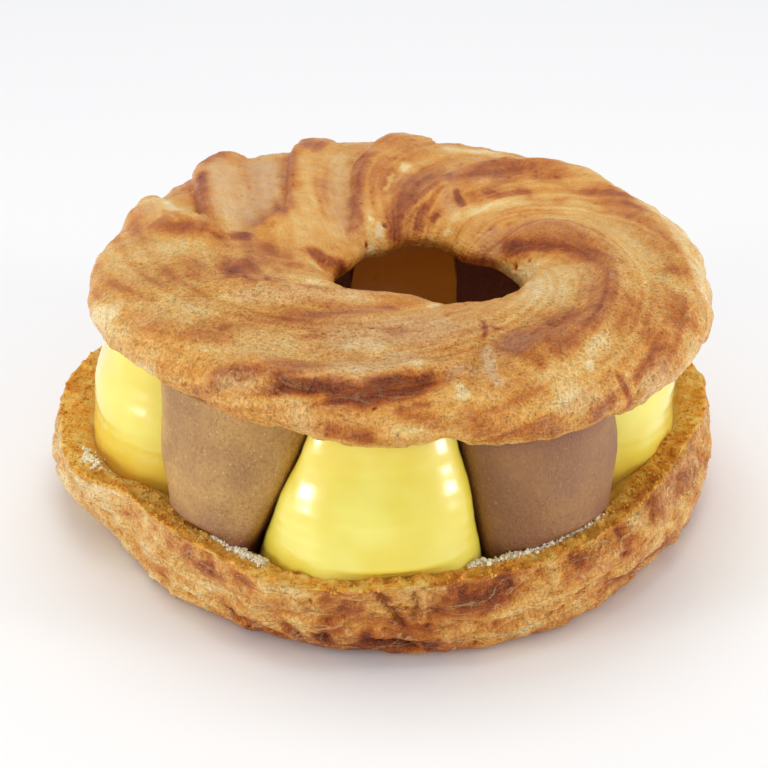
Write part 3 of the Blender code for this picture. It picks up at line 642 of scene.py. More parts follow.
def painted(points, normals, surface, strokes):
    """Toast and painted sheen that lines of browning leave on a surface: the strongest dark and pale ones show."""
    darker, paler, painted_sheen = np.zeros((3, len(points)))
    ragged = points + 0.36 * np.stack([fractal(points, 2.4, seed, 4) for seed in (71, 72, 73)], axis=1)
    for more, sheen_amount, left, right, knots in strokes:
        line = surface(*through(knots, 70).T)
        share, ends, _ = stroke(ragged, normals, line, left * 1.5, right * 1.5, 1.0, 0.10)
        cover = (1 - ease((share - 0.10) / 0.90)) * (0.35 + 0.65 * ends)
        darker = np.maximum(darker, more * cover)
        paler = np.minimum(paler, more * cover)
        painted_sheen = np.maximum(painted_sheen, sheen_amount * cover)
    return darker + paler, painted_sheen


def bubbled(points, surface, bubbles):
    """Sunken open bubbles with a raised lip: their relief and how dark their floors are."""
    relief = np.zeros(len(points))
    dark = np.zeros(len(points))
    for angle, place, radius, depth in bubbles:
        centre = surface(np.array([float(angle)]), np.array([place]))[0]
        share = np.linalg.norm(points - centre, axis=1) / radius
        relief += -depth * (1 - ease(share)) + 0.3 * depth * np.exp(-((share - 1.25) / 0.3) ** 2)
        dark += 0.7 * (1 - ease(share))
    return relief, dark


# Lid -------------------------------------------------------------------------------------------

LID_CURVE = through(LID_SECTION, 600)
LID_LENGTHS = np.concatenate([[0], np.cumsum(np.hypot(*(np.diff(LID_CURVE, axis=0) * LID_SECTION_SIZE).T))])
LID_LENGTHS /= LID_LENGTHS[-1]


def lid_underside(x, y):
    """Height of the lid's cut face over a place on the ground."""
    return LID_HEIGHT + LID_SLOPE[0] * (x - LID_CENTRE[0]) + LID_SLOPE[1] * (y - LID_CENTRE[1])


def lid_surface(angles, shares):
    """Points of the smooth lid: degrees round it, and share of the section from its edge to the hole."""
    turn = np.radians(angles)
    width = np.interp(shares, LID_LENGTHS, LID_CURVE[:, 0])
    height = np.interp(shares, LID_LENGTHS, LID_CURVE[:, 1])
    outer = around(LID_RADII, angles)
    hole = around(LID_HOLE_RADII, angles)
    far = (LID_CENTRE[0] + outer * np.cos(turn), LID_CENTRE[1] + outer * np.sin(turn))
    near = (LID_HOLE_CENTRE[0] + hole * np.cos(turn), LID_HOLE_CENTRE[1] + hole * np.sin(turn))
    x, y = (start + (end - start) * width for start, end in zip(far, near))
    z = lid_underside(x, y) + height * around(CROWN_HEIGHTS, angles)
    return np.stack([x, y, z], axis=-1)


def ragged_edge(angles):
    """How far the torn cut edge of the lid hangs below or stops above its cut plane."""
    turn = np.radians(angles)
    ring = np.stack([40 * np.cos(turn), 40 * np.sin(turn), 0 * turn], axis=-1)
    edge = 0.45 * noise(ring, 6.0, 11) + 0.28 * noise(ring, 1.8, 12) + 0.16 * noise(ring, 0.8, 13)
    for middle, width, depth in ((250, 2.5, 0.9), (276, 4.0, 1.3), (213, 2.0, 0.5), (305, 2.0, 0.5)):
        edge += depth * np.exp(-(((angles - middle + 180) % 360 - 180) / width) ** 2)
    return edge


def choux_lid(settings):
    piece = grid_ring("choux_lid", LID_AROUND, LID_ACROSS)
    angles = np.repeat(np.arange(LID_AROUND) * 360 / LID_AROUND, LID_ACROSS).reshape(LID_AROUND, LID_ACROSS)
    column = np.arange(LID_ACROSS)
    shares = np.broadcast_to(np.clip(column / (LID_CRUST_ROWS - 1), 0, 1), angles.shape)
    grid = lid_surface(angles, shares)
    back = np.clip((column - LID_CRUST_ROWS + 1) / (LID_ACROSS - LID_CRUST_ROWS + 1), 0, 1)
    outer_edge = lid_surface(angles[:, :1], shares[:, :1])
    grid = grid + (outer_edge - grid) * back[None, :, None]
    crust = np.broadcast_to(back <= 0, angles.shape).ravel()
    write_points(piece, grid)
    normals = read_normals(piece)
    points = grid.reshape(-1, 3)
    angles, shares = angles.ravel(), shares.ravel()
    back = np.broadcast_to(back, (LID_AROUND, LID_ACROSS)).ravel()

    turn = np.radians(angles)
    grain = np.stack([42 * np.cos(turn), 42 * np.sin(turn), shares * 44], axis=1)
    wall = 1 - ease((shares - 0.16) / 0.14)

    folds = folded_relief(points, normals, lid_surface, FOLDS) * settings.fold_depth
    toast, painted_sheen = painted(points, normals, lid_surface, LID_PAINT)
    lumps = 0.34 * fractal(points, 7.0, 21, 3)
    wrinkles = settings.wrinkle_depth / MM * fractal(points, 2.6, 31, 3)
    upright = 0.16 * wall * fractal(grain / (1.0, 1.0, 3.2), 1.3, 41, 2)
    near, value = pores(points, 1.3, 51)
    pitted = np.where(value > 0.62, 1 - ease(near / 0.36), 0) * (0.4 + 0.6 * ease(noise(points, 9.0, 52) + 0.5))
    bubble, floor = bubbled(points, lid_surface, BUBBLES)
    body = ease(shares / 0.05) * ease((1 - shares) / 0.06)
    relief = folds * body + (lumps + wrinkles + upright) * (0.35 + 0.65 * body) - 0.16 * pitted + bubble
    crumb = 0.30 * fractal(points, 1.4, 61, 3)
    relief = np.where(crust, relief, crumb)
    points = points + relief[:, None] * normals

    edge = ragged_edge(angles)
    low = np.where(crust, 1 - ease(shares / 0.09), ease((back - 0.75) / 0.25))
    points[:, 2] += edge * low
    outward = np.stack([np.cos(turn), np.sin(turn), 0 * turn], axis=1)
    points += outward * (0.25 * noise(grain, 1.1, 14) * low)[:, None]
    write_points(piece, points + plan_shift())

    along = turn - np.radians(around(SWIRL, angles)) * shares
    swept = np.stack([40 * np.cos(along), 40 * np.sin(along), 6 * shares], axis=1)
    streaks = 0.13 * fractal(swept, 2.6, 83, 3) + 0.05 * fractal(points, 1.8, 82, 3)
    toast = 0.43 + 1.15 * toast + 0.06 * fractal(points, 5.0, 81, 3) + streaks
    toast += 0.25 * pitted + floor - 0.10 * ease(1 - shares / 0.05)
    write_value(piece, "toast", np.where(crust, np.clip(toast, 0, 1.1), 0.12))
    write_value(piece, "painted_sheen", np.where(crust, np.clip(painted_sheen, 0, 1), 0.1))
    front = ease(0.5 - 0.8 * np.sin(turn))
    write_value(piece, "hair", wall * 0.6)
    # Coarseness: depth of the grain, and also strength of the painted glints; highest on the front, facing the
    # camera.
    write_value(piece, "coarse", 0.25 + 0.85 * front * (1 - 0.5 * ease((shares - 0.45) / 0.3)))
    write_value(piece, "flaky", 0.25 * wall * front)
    write_value(piece, "grain", grain * MM)
    _, highest = face_columns(piece, LID_ACROSS)
    piece.data.materials.append(crust_material("Lid crust", settings))
    piece.data.materials.append(crumb_material("Lid crumb"))
    piece.data.polygons.foreach_set("material_index", (highest >= LID_CRUST_ROWS).astype(np.int32))
    finish_piece(piece, "crust", "lid_ring")


# Base ------------------------------------------------------------------------------------------

def trough_inset(height):
    heights, insets = np.array(TROUGH_WALL).T
    return np.interp(height, heights[::-1], insets[::-1])


def base_surface(angles, places):
    """Points of the smooth base: degrees round it, and place along its section from the foot outwards."""
    turn = np.radians(angles)
    rim, belly, foot = (around(knots, angles) for knots in (RIM_RADII, BELLY_RADII, FOOT_RADII))
    inner = np.full_like(rim, BASE_HOLE_RADIUS)
    edge = rim - CUT_WIDTH
    stations = (
        (0.00, foot, 0.0, 0), (0.04, foot + 1.8, 1.4, 0), (0.13, foot + 0.78 * (belly - foot), 4.6, 0),
        (0.24, belly, 8.0, 0), (0.35, 0.35 * belly + 0.65 * rim, 11.4, 0), (RIM_PLACE, rim, RIM_HEIGHT, 0),
        *((place, edge - inset, height, 0) for place, (height, inset) in zip(TROUGH_PLACES, TROUGH_WALL)),
        (0.78, inner + 7.0, FLOOR_HEIGHT, 1), (0.83, inner + 4.2, 8.6, 1),
        (0.86, inner + 3.2, 11.4, 1), (0.88, inner + 0.4, 11.6, 1), (0.93, inner, 6.0, 1),
        (0.97, inner + 1.6, 0.0, 1), (1.00, foot, 0.0, 0),
    )
    places = np.broadcast_to(places, np.shape(angles))
    total = np.zeros(np.shape(angles) + (3,))
    for (start, r0, z0, c0), (end, r1, z1, c1) in zip(stations, stations[1:]):
        part = np.clip((places - start) / (end - start), 0, 1)
        here = (places >= start) & (places <= end)
        points = []
        for radius, height, off in ((r0, z0, c0), (r1, z1, c1)):
            x = radius * np.cos(turn) + off * BASE_HOLE_CENTRE[0]
            y = radius * np.sin(turn) + off * BASE_HOLE_CENTRE[1]
            points.append(np.stack([x, y, np.broadcast_to(height, np.shape(x))], axis=-1))
        mixed = points[0] + (points[1] - points[0]) * part[..., None]
        total = np.where(here[..., None], mixed, total)
    return total


def wall_surface(angles, downs):
    """Points of the base's wall by share from rim to foot, and of its cut face by a share below nought."""
    downs = np.asarray(downs)
    stations = ((-0.35, 0.58), (-0.25, CUT_PLACE), (0.0, RIM_PLACE), (0.17, 0.35), (0.42, 0.24), (0.68, 0.13),
                (0.90, 0.04), (1.0, 0.0))
    shares, places = np.array(stations).T
    return base_surface(angles, np.interp(downs, shares, places))


def choux_base(settings):
    piece = grid_ring("choux_base", BASE_AROUND, BASE_ACROSS)
    angles = np.repeat(np.arange(BASE_AROUND) * 360 / BASE_AROUND, BASE_ACROSS).reshape(BASE_AROUND, BASE_ACROSS)
    places = np.broadcast_to(np.arange(BASE_ACROSS) / BASE_ACROSS, angles.shape)
    grid = soften(base_surface(angles, places), 2)
    write_points(piece, grid)
    normals = read_normals(piece)
    points = grid.reshape(-1, 3)
    angles, places = angles.ravel(), places.ravel()
    turn = np.radians(angles)
    grain = np.stack([47 * np.cos(turn), 47 * np.sin(turn), points[:, 2]], axis=1)

    wall = ease(places / 0.03) * ease((RIM_PLACE + 0.01 - places) / 0.03)
    cut = ease((places - RIM_PLACE + 0.01) / 0.02) * ease((CUT_PLACE + 0.02 - places) / 0.02)
    inside = ease((places - CUT_PLACE) / 0.02) * ease((0.86 - places) / 0.02)
    folds = folded_relief(points, normals, wall_surface, WALL_FOLDS)
    warped = points + 1.6 * np.stack([noise(points, 5.0, seed) for seed in (121, 122, 123)], axis=1)
    flat = warped * (1, 1, 2.0)
    rough = 0.55 * creases(flat, 4.2, 131) + 0.30 * creases(flat, 2.1, 132) + 0.20 * fractal(flat, 1.2, 133, 2)
    swell = 0.40 * fractal(points, 9.0, 135, 2)
    near, value = pores(points, 1.5, 141)
    pitted = np.where(value > 0.70, 1 - ease(near / 0.40), 0)
    crumb = 0.42 * fractal(points, 1.5, 151, 3) + 0.20 * creases(points, 2.4, 152)
    relief = wall * (folds + settings.wall_depth / MM * rough + swell - 0.35 * pitted)
    relief += cut * (crumb - 0.35 * pitted) + inside * 0.25 * crumb
    hole = ease((places - 0.86) / 0.02) * ease((0.98 - places) / 0.02)
    relief += hole * 0.35 * fractal(points, 2.4, 161, 3)
    lip = ease(1 - np.abs(places - RIM_PLACE) / 0.05)
    relief += lip * 0.30 * fractal(grain, 2.2, 162, 3)
    under = np.where(places > 0.97, 1.0, 0) + np.where(places < 0.012, 1.0, 0)
    points = points + (relief * (1 - under))[:, None] * normals
    foot = ease(1 - places / 0.06)
    points[:, 2] = np.maximum(points[:, 2] + foot * 0.5 * noise(grain, 2.6, 163) * (places > 0.01), 0.0)
    write_points(piece, points + plan_shift())

    toast, painted_sheen = painted(points, normals, wall_surface, WALL_PAINT + CUT_PAINT)
    spots = 0.16 * fractal(flat, 4.0, 171, 3) + 0.12 * fractal(points, 1.5, 172, 2)
    # Painted shade: the wall is darker in the hollows of its creases and paler on their crests.
    hollow = -0.22 * np.clip(rough, -1, 1)
    toast = 0.41 + toast * (wall + cut) + spots + hollow * wall + 0.30 * pitted + 0.14 * foot
    # Painted light: the wall is paler on the left, where the left window lights it, and darker towards the right.
    toast += wall * np.interp(-np.cos(turn), (-1.0, 0.2, 1.0), (0.10, 0.08, -0.16))
    # Random patches of painted sheen on the wall, a little darker too.
    sheen_patches = wall * 0.16 * ease((noise(points, 5.5, 181) - 0.25) / 0.5)
    painted_sheen = np.maximum(0.6 * painted_sheen * (wall + cut), sheen_patches)
    toast = np.where(wall > 0.5, toast + 0.14 * sheen_patches, toast)
    toast = np.where(inside > 0.5, 0.34 + spots, toast)
    write_value(piece, "toast", np.clip(toast, 0, 1.1))
    write_value(piece, "painted_sheen", np.clip(painted_sheen, 0, 1))
    write_value(piece, "hair", np.zeros(len(points)))
    write_value(piece, "coarse", np.full(len(points), 0.8))
    write_value(piece, "flaky", 0.45 * wall)
    write_value(piece, "grain", grain * MM)
    lowest, highest = face_columns(piece, BASE_ACROSS)
    crumbly = (lowest >= RIM_PLACE * BASE_ACROSS) & (highest < 0.86 * BASE_ACROSS)
    piece.data.materials.append(crust_material("Base crust", settings))
    piece.data.materials.append(crumb_material("Base crumb"))
    piece.data.polygons.foreach_set("material_index", crumbly.astype(np.int32))
    finish_piece(piece, "crust", "base_shell")


# Cream -----------------------------------------------------------------------------------------

def border_reach(centre, direction, border, side):
    """Distance along rays from a dollop's centre to the upright plane where it meets a neighbour."""
    normal = (-np.sin(border) * side, np.cos(border) * side)
    room = -(centre[0] * normal[0] + centre[1] * normal[1]) - TOUCH
    closing = direction[0] * normal[0] + direction[1] * normal[1]
    return np.where(closing > 1e-6, room / np.maximum(closing, 1e-6), 1e6)


def dollop(index, settings):
    """A piped dollop: a ball pulled out to a wide foot, flattened under the lid and pressed by its neighbours."""
    name, angle, ring_radius, foot, top = DOLLOPS[index]
    flavour = name.split("_")[0]
    deselect_all()
    bpy.ops.mesh.primitive_uv_sphere_add(segments=160, ring_count=100, radius=10 * MM, calc_uvs=False)
    piece = bpy.context.object
    piece.name = name.replace("dollop", "cream")
    bpy.ops.object.shade_smooth()
    ball = read_points(piece) / 10
    turn = np.arctan2(ball[:, 1], ball[:, 0])
    level = 1 - np.arccos(np.clip(ball[:, 2], -1, 1)) / pi
    cap = 0.14
    rise = np.clip((level - cap) / (1 - 2 * cap), 0, 1)
    flat = np.minimum(np.minimum(level, 1 - level) / cap, 1)
    curve = through(DOLLOP_LEVELS, 200)
    spread = np.interp(rise, curve[:, 0], curve[:, 1])
    radius = top + (foot - top) * spread

    centre = (ring_radius * cos(radians(angle)), ring_radius * sin(radians(angle)))
    direction = (np.cos(turn), np.sin(turn))
    bottom = FLOOR_HEIGHT + TOUCH
    reaches = [radius]
    for side, (border, lean) in ((-1, BORDERS[index]), (1, BORDERS[(index + 1) % len(BORDERS)])):
        over = bottom + rise * (LID_HEIGHT - bottom) - BORDER_HEIGHT
        reaches.append(border_reach(centre, direction, np.radians(border + lean * over), side))
    reach = sum(distance**-SQUEEZE for distance in reaches) ** (-1 / SQUEEZE)
    x = centre[0] + reach * direction[0]
    y = centre[1] + reach * direction[1]
    z = bottom + rise * (lid_underside(x, y) + TOUCH - bottom)
    out = np.hypot(x, y)
    around_ring = np.degrees(np.arctan2(y, x))
    most = around(RIM_RADII, around_ring) - CUT_WIDTH - trough_inset(z) + CRUMB_PRESS
    low = ease((RIM_HEIGHT + RIM_CLEARANCE - z) / RIM_CLEARANCE)
    bound = np.maximum(out + (np.minimum(out, most) - out) * low, DOLLOP_INNER_RADIUS)
    points = np.stack([x * bound / out, y * bound / out, z], axis=1)
    middle = np.array([centre[0], centre[1], 0])
    points[:, :2] = middle[:2] + (points[:, :2] - middle[:2]) * flat[:, None]
    sway = 0.45 * noise(points, 12.0, 200 + index) * flat * ease(rise / 0.2) * ease((1 - rise) / 0.1)
    ripple = 0.16 * np.sin(z * 0.62 + 1.2 * noise(points, 14.0, 230 + index)) * ease((z - RIM_HEIGHT) / 4)
    ripple += 0.02 * np.sin(z * 2.6 + 3.0 * noise(points, 8.0, 240 + index)) * ease((z - RIM_HEIGHT) / 4)
    points[:, 0] += (sway + ripple * flat) * direction[0]
    points[:, 1] += (sway + ripple * flat) * direction[1]
    write_points(piece, points + plan_shift())
    # Painted shade: strongest towards the hole, then at the foot, just under the lid, and all over on the darker
    # dollops.
    hole_shadow = 1 - ease((np.hypot(points[:, 0], points[:, 1]) - DOLLOP_INNER_RADIUS) / 4.0)
    foot_shadow, lid_shadow, shade_all_over = DOLLOP_PAINTED_SHADE[name]
    shade = foot_shadow * ease((20.0 - points[:, 2]) / 9.0) + lid_shadow * ease((points[:, 2] - 27.0) / 6.0)
    shade = np.maximum(hole_shadow, shade_all_over + shade * (1 + 0.8 * noise(points, 5.0, 250 + index)))
    write_value(piece, "shade", np.clip(shade, 0, 1))
    piece.data.materials.append(custard_material(settings) if flavour == "custard" else chocolate_material(settings))
    finish_piece(piece, flavour, name)


# Crumbs ----------------------------------------------------------------------------------------

def crumb_heap(name, doublings, places, sizes, seed, material):
    """Many small rough crumbs as one mesh: one is made, doubled over and over, and each is put in its place."""
    deselect_all()
    bpy.ops.mesh.primitive_ico_sphere_add(subdivisions=2, radius=1 * MM)
    piece = bpy.context.object
    piece.name = name
    bpy.ops.object.mode_set(mode="EDIT")
    for _ in range(doublings):
        bpy.ops.mesh.select_all(action="SELECT")
        bpy.ops.mesh.duplicate()
    bpy.ops.object.mode_set(mode="OBJECT")
    count = 2**doublings
    blobs = read_points(piece).reshape(count, -1, 3)
    random = np.random.default_rng(seed)
    shift = random.uniform(0, 90, (count, 1, 3))
    blobs = blobs * (1 + 0.55 * noise(blobs + shift, 0.9, seed)[..., None])
    blobs = blobs * random.uniform(0.55, 1.25, (count, 1, 3)) * random.uniform(*sizes, (count, 1, 1))
    spots = places(random, count)
    write_points(piece, blobs + spots[:, None, :])
    bpy.ops.object.shade_smooth()
    piece.data.materials.append(material)
    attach(piece, BODY)
    return piece


def base_grid():
    piece = bpy.data.objects["choux_base"]
    return read_points(piece).reshape(BASE_AROUND, BASE_ACROSS, 3)


def froth_places(random, count):
    """Spots along the torn inner edge of the cut face, under the two front chocolate dollops."""
    grid = base_grid()
    spans = ((236, 249, 0.35), (285, 316, 0.50), (195, 203, 0.15))
    chosen = random.choice(3, count, p=[span[2] for span in spans])
    starts, ends = np.array([span[:2] for span in spans]).T
    angles = starts[chosen] + (ends - starts)[chosen] * random.uniform(0, 1, count)
    rows = (angles / 360 * BASE_AROUND).astype(int) % BASE_AROUND
    columns = ((CUT_PLACE + random.normal(-0.005, 0.012, count)) * BASE_ACROSS).astype(int)
    return grid[rows, columns] + random.normal(0, 0.12, (count, 3)) + (0, 0, 0.15)


def rim_places(random, count):
    """Spots all over the cut face of the base."""
    grid = base_grid()
    rows = random.integers(0, BASE_AROUND, count)
    columns = (random.uniform(RIM_PLACE + 0.004, CUT_PLACE + 0.01, count) * BASE_ACROSS).astype(int)
    return grid[rows, columns]


# Materials -------------------------------------------------------------------------------------

def add_node(tree, kind, inputs=None, **settings):
    """A shader node with its settings made, and its inputs set or linked by name or number."""
    made = tree.nodes.new(kind)
    for name, value in settings.items():
        setattr(made, name, value)
    for name, value in (inputs or {}).items():
        if isinstance(value, bpy.types.NodeSocket):
            tree.links.new(value, made.inputs[name])
        else:
            made.inputs[name].default_value = value
    return made


def reckon(tree, operation, first, second=0.0, third=0.0, clamp=False):
    return add_node(tree, "ShaderNodeMath", {0: first, 1: second, 2: third}, operation=operation,
                    use_clamp=clamp).outputs[0]


def mixed(tree, factor, first, second, blend="MIX"):
    return add_node(tree, "ShaderNodeMix", {0: factor, 6: first, 7: second}, data_type="RGBA",
                    blend_type=blend).outputs[2]


def grainy(tree, vector, scale, detail=3.0, stretch=(1, 1, 1), roughness=0.55, twist=0.0):
    """Noise from 0 to 1, with its size as bumps per metre."""
    mapping = add_node(tree, "ShaderNodeMapping", {"Vector": vector, "Scale": stretch})
    return add_node(tree, "ShaderNodeTexNoise", {
        "Vector": mapping.outputs[0], "Scale": scale, "Detail": detail, "Roughness": roughness,
        "Distortion": twist}).outputs["Fac"]


def ramp(tree, factor, stops):
    made = add_node(tree, "ShaderNodeValToRGB", {0: factor})
    elements = made.color_ramp.elements
    elements[0].position, elements[0].color = stops[0]
    elements[1].position, elements[1].color = stops[-1]
    for place, colour in stops[1:-1]:
        elements.new(place).color = colour
    return made.outputs[0]


def limits(tree, value, low, high, to_low=0.0, to_high=1.0):
    """A smooth step of a value between two limits."""
    return add_node(tree, "ShaderNodeMapRange", {0: value, 1: low, 2: high, 3: to_low, 4: to_high},
                    interpolation_type="SMOOTHSTEP").outputs[0]


def new_group(name, inputs, outputs):
    """A shader node group with its sockets, and its input and output nodes."""
    group = bpy.data.node_groups.new(name, "ShaderNodeTree")
    for title, kind in inputs:
        group.interface.new_socket(name=title, in_out="INPUT", socket_type=kind)
    for title, kind in outputs:
        group.interface.new_socket(name=title, in_out="OUTPUT", socket_type=kind)
    return group, group.nodes.new("NodeGroupInput"), group.nodes.new("NodeGroupOutput")


def baked_group(settings):
    """Node group: colour, gloss and grain of baked choux, from how toasted and coarse it is, with its painted sheen
    and painted glints.
    """
    if "Baked choux" in bpy.data.node_groups:
        return bpy.data.node_groups["Baked choux"]
    group, given, result = new_group(
        "Baked choux",
        (("Toast", "NodeSocketFloat"), ("Painted sheen", "NodeSocketFloat"), ("Grain", "NodeSocketVector"),
         ("Hair", "NodeSocketFloat"), ("Grit and glints", "NodeSocketFloat"), ("Flaky", "NodeSocketFloat")),
        (("Color", "NodeSocketColor"), ("Roughness", "NodeSocketFloat"), ("Height", "NodeSocketFloat")))
    toast, painted_sheen, grain, hair, coarse, flaky = given.outputs[:6]
    place = add_node(group, "ShaderNodeTexCoord").outputs["Object"]
    streak = grainy(group, grain, 1900, 2, (1, 1, 0.55), twist=0.5)
    fleck = grainy(group, place, 1700, 2, roughness=0.62, twist=0.4)
    sand = grainy(group, place, 3000, 2)
    patch = grainy(group, place, 420, 4, roughness=0.62)
    cells = add_node(group, "ShaderNodeTexVoronoi", {"Vector": place, "Scale": 1350, "Randomness": 1.0},
                     feature="F1").outputs["Distance"]
    fine = add_node(group, "ShaderNodeMix", {0: hair, 2: fleck, 3: streak}).outputs[0]
    uneven = reckon(group, "ADD", reckon(group, "MULTIPLY_ADD", fine, 0.40, -0.20),
                    reckon(group, "MULTIPLY_ADD", patch, 0.36, -0.18))
    baked = reckon(group, "ADD", uneven, toast)
    colour = ramp(group, baked, settings.bake_colours())
    # Painted sheen: a greyish pink that follows the toast, mixed in where the sheen is painted.
    sheen_tint = ramp(group, baked, ((0.1, (*settings.sheen_colour, 1)), (0.5, (0.58, 0.33, 0.185, 1)),
                               (0.9, (0.34, 0.12, 0.06, 1))))
    colour = mixed(group, reckon(group, "MULTIPLY", painted_sheen, limits(group, fleck, 0.28, 0.58), clamp=True),
                   colour, sheen_tint)
    layers = grainy(group, grain, 300, 3, (0.36, 0.36, 1.30), 0.55, 1.0)
    torn = reckon(group, "MULTIPLY", limits(group, reckon(group, "ABSOLUTE", reckon(group, "SUBTRACT", layers, 0.5)),
                                            0.050, 0.0), flaky)
    above = limits(group, layers, 0.49, 0.51)
    colour = mixed(group, reckon(group, "MULTIPLY", torn, reckon(group, "MULTIPLY", above, 0.75)), colour,
                   (*settings.speck_colour, 1))
    colour = mixed(group, reckon(group, "MULTIPLY", torn, reckon(group, "MULTIPLY_ADD", above, -0.7, 0.7)), colour,
                   (*settings.pit_colour, 1))
    pale = reckon(group, "MULTIPLY", limits(group, fine, 0.51, 0.62), coarse, clamp=True)
    pale = reckon(group, "MULTIPLY", pale, limits(group, baked, 0.85, 0.45, 0.08, 0.42))
    colour = mixed(group, reckon(group, "MULTIPLY", pale, reckon(group, "MULTIPLY_ADD", flaky, 0.60, 0.35)),
                   colour, (*settings.speck_colour, 1))
    dark = reckon(group, "MULTIPLY", limits(group, fine, 0.47, 0.34), coarse, clamp=True)
    colour = mixed(group, reckon(group, "MULTIPLY", dark, 0.30), colour, (*settings.pit_colour, 1))
    # Painted glints and bump shading: the colour is made lighter and darker in fine grain, most where the crust is
    # coarse.
    glint_shading = reckon(group, "MULTIPLY_ADD", reckon(group, "SUBTRACT", sand, 0.5), coarse, 1.0)
    glint_shading = reckon(group, "ADD", glint_shading, reckon(group, "MULTIPLY", reckon(group, "SUBTRACT", pale, dark), 0.22))
    colour = add_node(group, "ShaderNodeVectorMath", {0: colour, 3: glint_shading}, operation="SCALE").outputs[0]
    gloss = reckon(group, "ADD", limits(group, patch, 0.35, 0.65, 0.22, 0.38),
                   reckon(group, "MULTIPLY", painted_sheen, 0.16))
    height = reckon(group, "ADD", fine, reckon(group, "MULTIPLY", sand, 0.45))
    height = reckon(group, "ADD", height, reckon(group, "MULTIPLY", flaky, reckon(group, "MULTIPLY", above, 0.6)))
    height = reckon(group, "SUBTRACT", height, reckon(group, "MULTIPLY", cells, 0.50))
    height = reckon(group, "MULTIPLY", height, reckon(group, "ADD", coarse, 0.35))
    for socket, title in ((colour, "Color"), (gloss, "Roughness"), (height, "Height")):
        group.links.new(socket, result.inputs[title])
    return group


def new_material(name):
    made = bpy.data.materials.new(name)
    made.use_nodes = True
    return made, made.node_tree, made.node_tree.nodes["Principled BSDF"]


def attribute(tree, name, output="Fac"):
    return add_node(tree, "ShaderNodeAttribute", attribute_name=name).outputs[output]


def crust_material(name, settings):
    """Egg-washed choux crust: toasted by the folds, with fine grain and a broken gloss."""
    made, tree, shader = new_material(name)
    baked = add_node(tree, "ShaderNodeGroup", node_tree=baked_group(settings))
    for title, socket in (("Toast", attribute(tree, "toast")), ("Painted sheen", attribute(tree, "painted_sheen")),
                          ("Hair", attribute(tree, "hair")), ("Grain", attribute(tree, "grain", "Vector")),
                          ("Grit and glints", attribute(tree, "coarse")), ("Flaky", attribute(tree, "flaky"))):
        tree.links.new(socket, baked.inputs[title])
    bump = add_node(tree, "ShaderNodeBump", {"Height": baked.outputs["Height"], "Strength": 1.0,
                                             "Distance": 0.00042})
    tree.links.new(baked.outputs["Color"], shader.inputs["Base Color"])
    tree.links.new(baked.outputs["Roughness"], shader.inputs["Roughness"])
    tree.links.new(bump.outputs[0], shader.inputs["Normal"])
    shader.inputs["Specular IOR Level"].default_value = settings.egg_wash
    shader.inputs["Specular Tint"].default_value = (1.0, 0.84, 0.60, 1)
    return made


def crumb_material(name):
    """Cut and torn choux: open, dry, orange-brown at its skin and paler inside."""
    made, tree, shader = new_material(name)
    place = add_node(tree, "ShaderNodeTexCoord").outputs["Object"]
    toast = attribute(tree, "toast")
    coarse = grainy(tree, place, 750, 4)
    fine = grainy(tree, place, 2200, 4, roughness=0.7)
    uneven = reckon(tree, "ADD", reckon(tree, "MULTIPLY_ADD", coarse, 0.8, -0.4),
                    reckon(tree, "MULTIPLY_ADD", fine, 0.7, -0.35))
    colour = ramp(tree, reckon(tree, "ADD", toast, uneven), (
        (0.0, (0.97, 0.80, 0.40, 1)), (0.25, (0.95, 0.63, 0.14, 1)), (0.50, (0.90, 0.42, 0.038, 1)),
        (0.75, (0.66, 0.20, 0.014, 1)), (1.0, (0.30, 0.06, 0.007, 1))))
    bump = add_node(tree, "ShaderNodeBump", {"Height": reckon(tree, "ADD", coarse, fine), "Strength": 1.0,
                                             "Distance": 0.00045})
    tree.links.new(colour, shader.inputs["Base Color"])
    tree.links.new(bump.outputs[0], shader.inputs["Normal"])
    shader.inputs["Roughness"].default_value = 0.72
    return made


def froth_material():
    """White dried foam of the torn crumb."""
    made, tree, shader = new_material("White crumb")
    place = add_node(tree, "ShaderNodeTexCoord").outputs["Object"]
    fine = grainy(tree, place, 1800, 3)
    colour = mixed(tree, limits(tree, fine, 0.35, 0.7), (1.0, 0.94, 0.76, 1), (0.95, 0.80, 0.52, 1))
    tree.links.new(colour, shader.inputs["Base Color"])
    shader.inputs["Roughness"].default_value = 0.6
    shader.inputs["Subsurface Weight"].default_value = 0.3
    shader.inputs["Subsurface Radius"].default_value = (1.0, 0.8, 0.5)
    shader.inputs["Subsurface Scale"].default_value = 0.0006
    return made


def custard_material(settings):
    """Smooth glossy custard: light passes into it, and its skin is faintly grained."""
    if "Custard" in bpy.data.materials:
        return bpy.data.materials["Custard"]
    made, tree, shader = new_material("Custard")
    place = add_node(tree, "ShaderNodeTexCoord").outputs["Object"]
    cloudy = grainy(tree, place, 90, 2)
    fine = grainy(tree, place, 1500, 3)
    wave = grainy(tree, place, 220, 2)
    pale = mixed(tree, limits(tree, cloudy, 0.3, 0.7), (*settings.custard_colour, 1),
                 (*settings.custard_pale, 1))
    # Painted shade: the custard goes amber where the dollop's shade attribute is high.
    pale = mixed(tree, attribute(tree, "shade"), pale, (*settings.custard_shade_colour, 1))
    bump = add_node(tree, "ShaderNodeBump", {
        "Height": reckon(tree, "ADD", reckon(tree, "MULTIPLY", fine, 0.12), wave), "Strength": 0.35,
        "Distance": 0.00025})
    tree.links.new(pale, shader.inputs["Base Color"])
    tree.links.new(bump.outputs[0], shader.inputs["Normal"])
    shader.inputs["Roughness"].default_value = 0.34
    shader.inputs["Subsurface Weight"].default_value = 0.45
    shader.inputs["Subsurface Radius"].default_value = (1.0, 0.75, 0.25)
    shader.inputs["Subsurface Scale"].default_value = 0.0035
    shader.inputs["Coat Weight"].default_value = 1.0
    shader.inputs["Coat Roughness"].default_value = 0.15
    return made


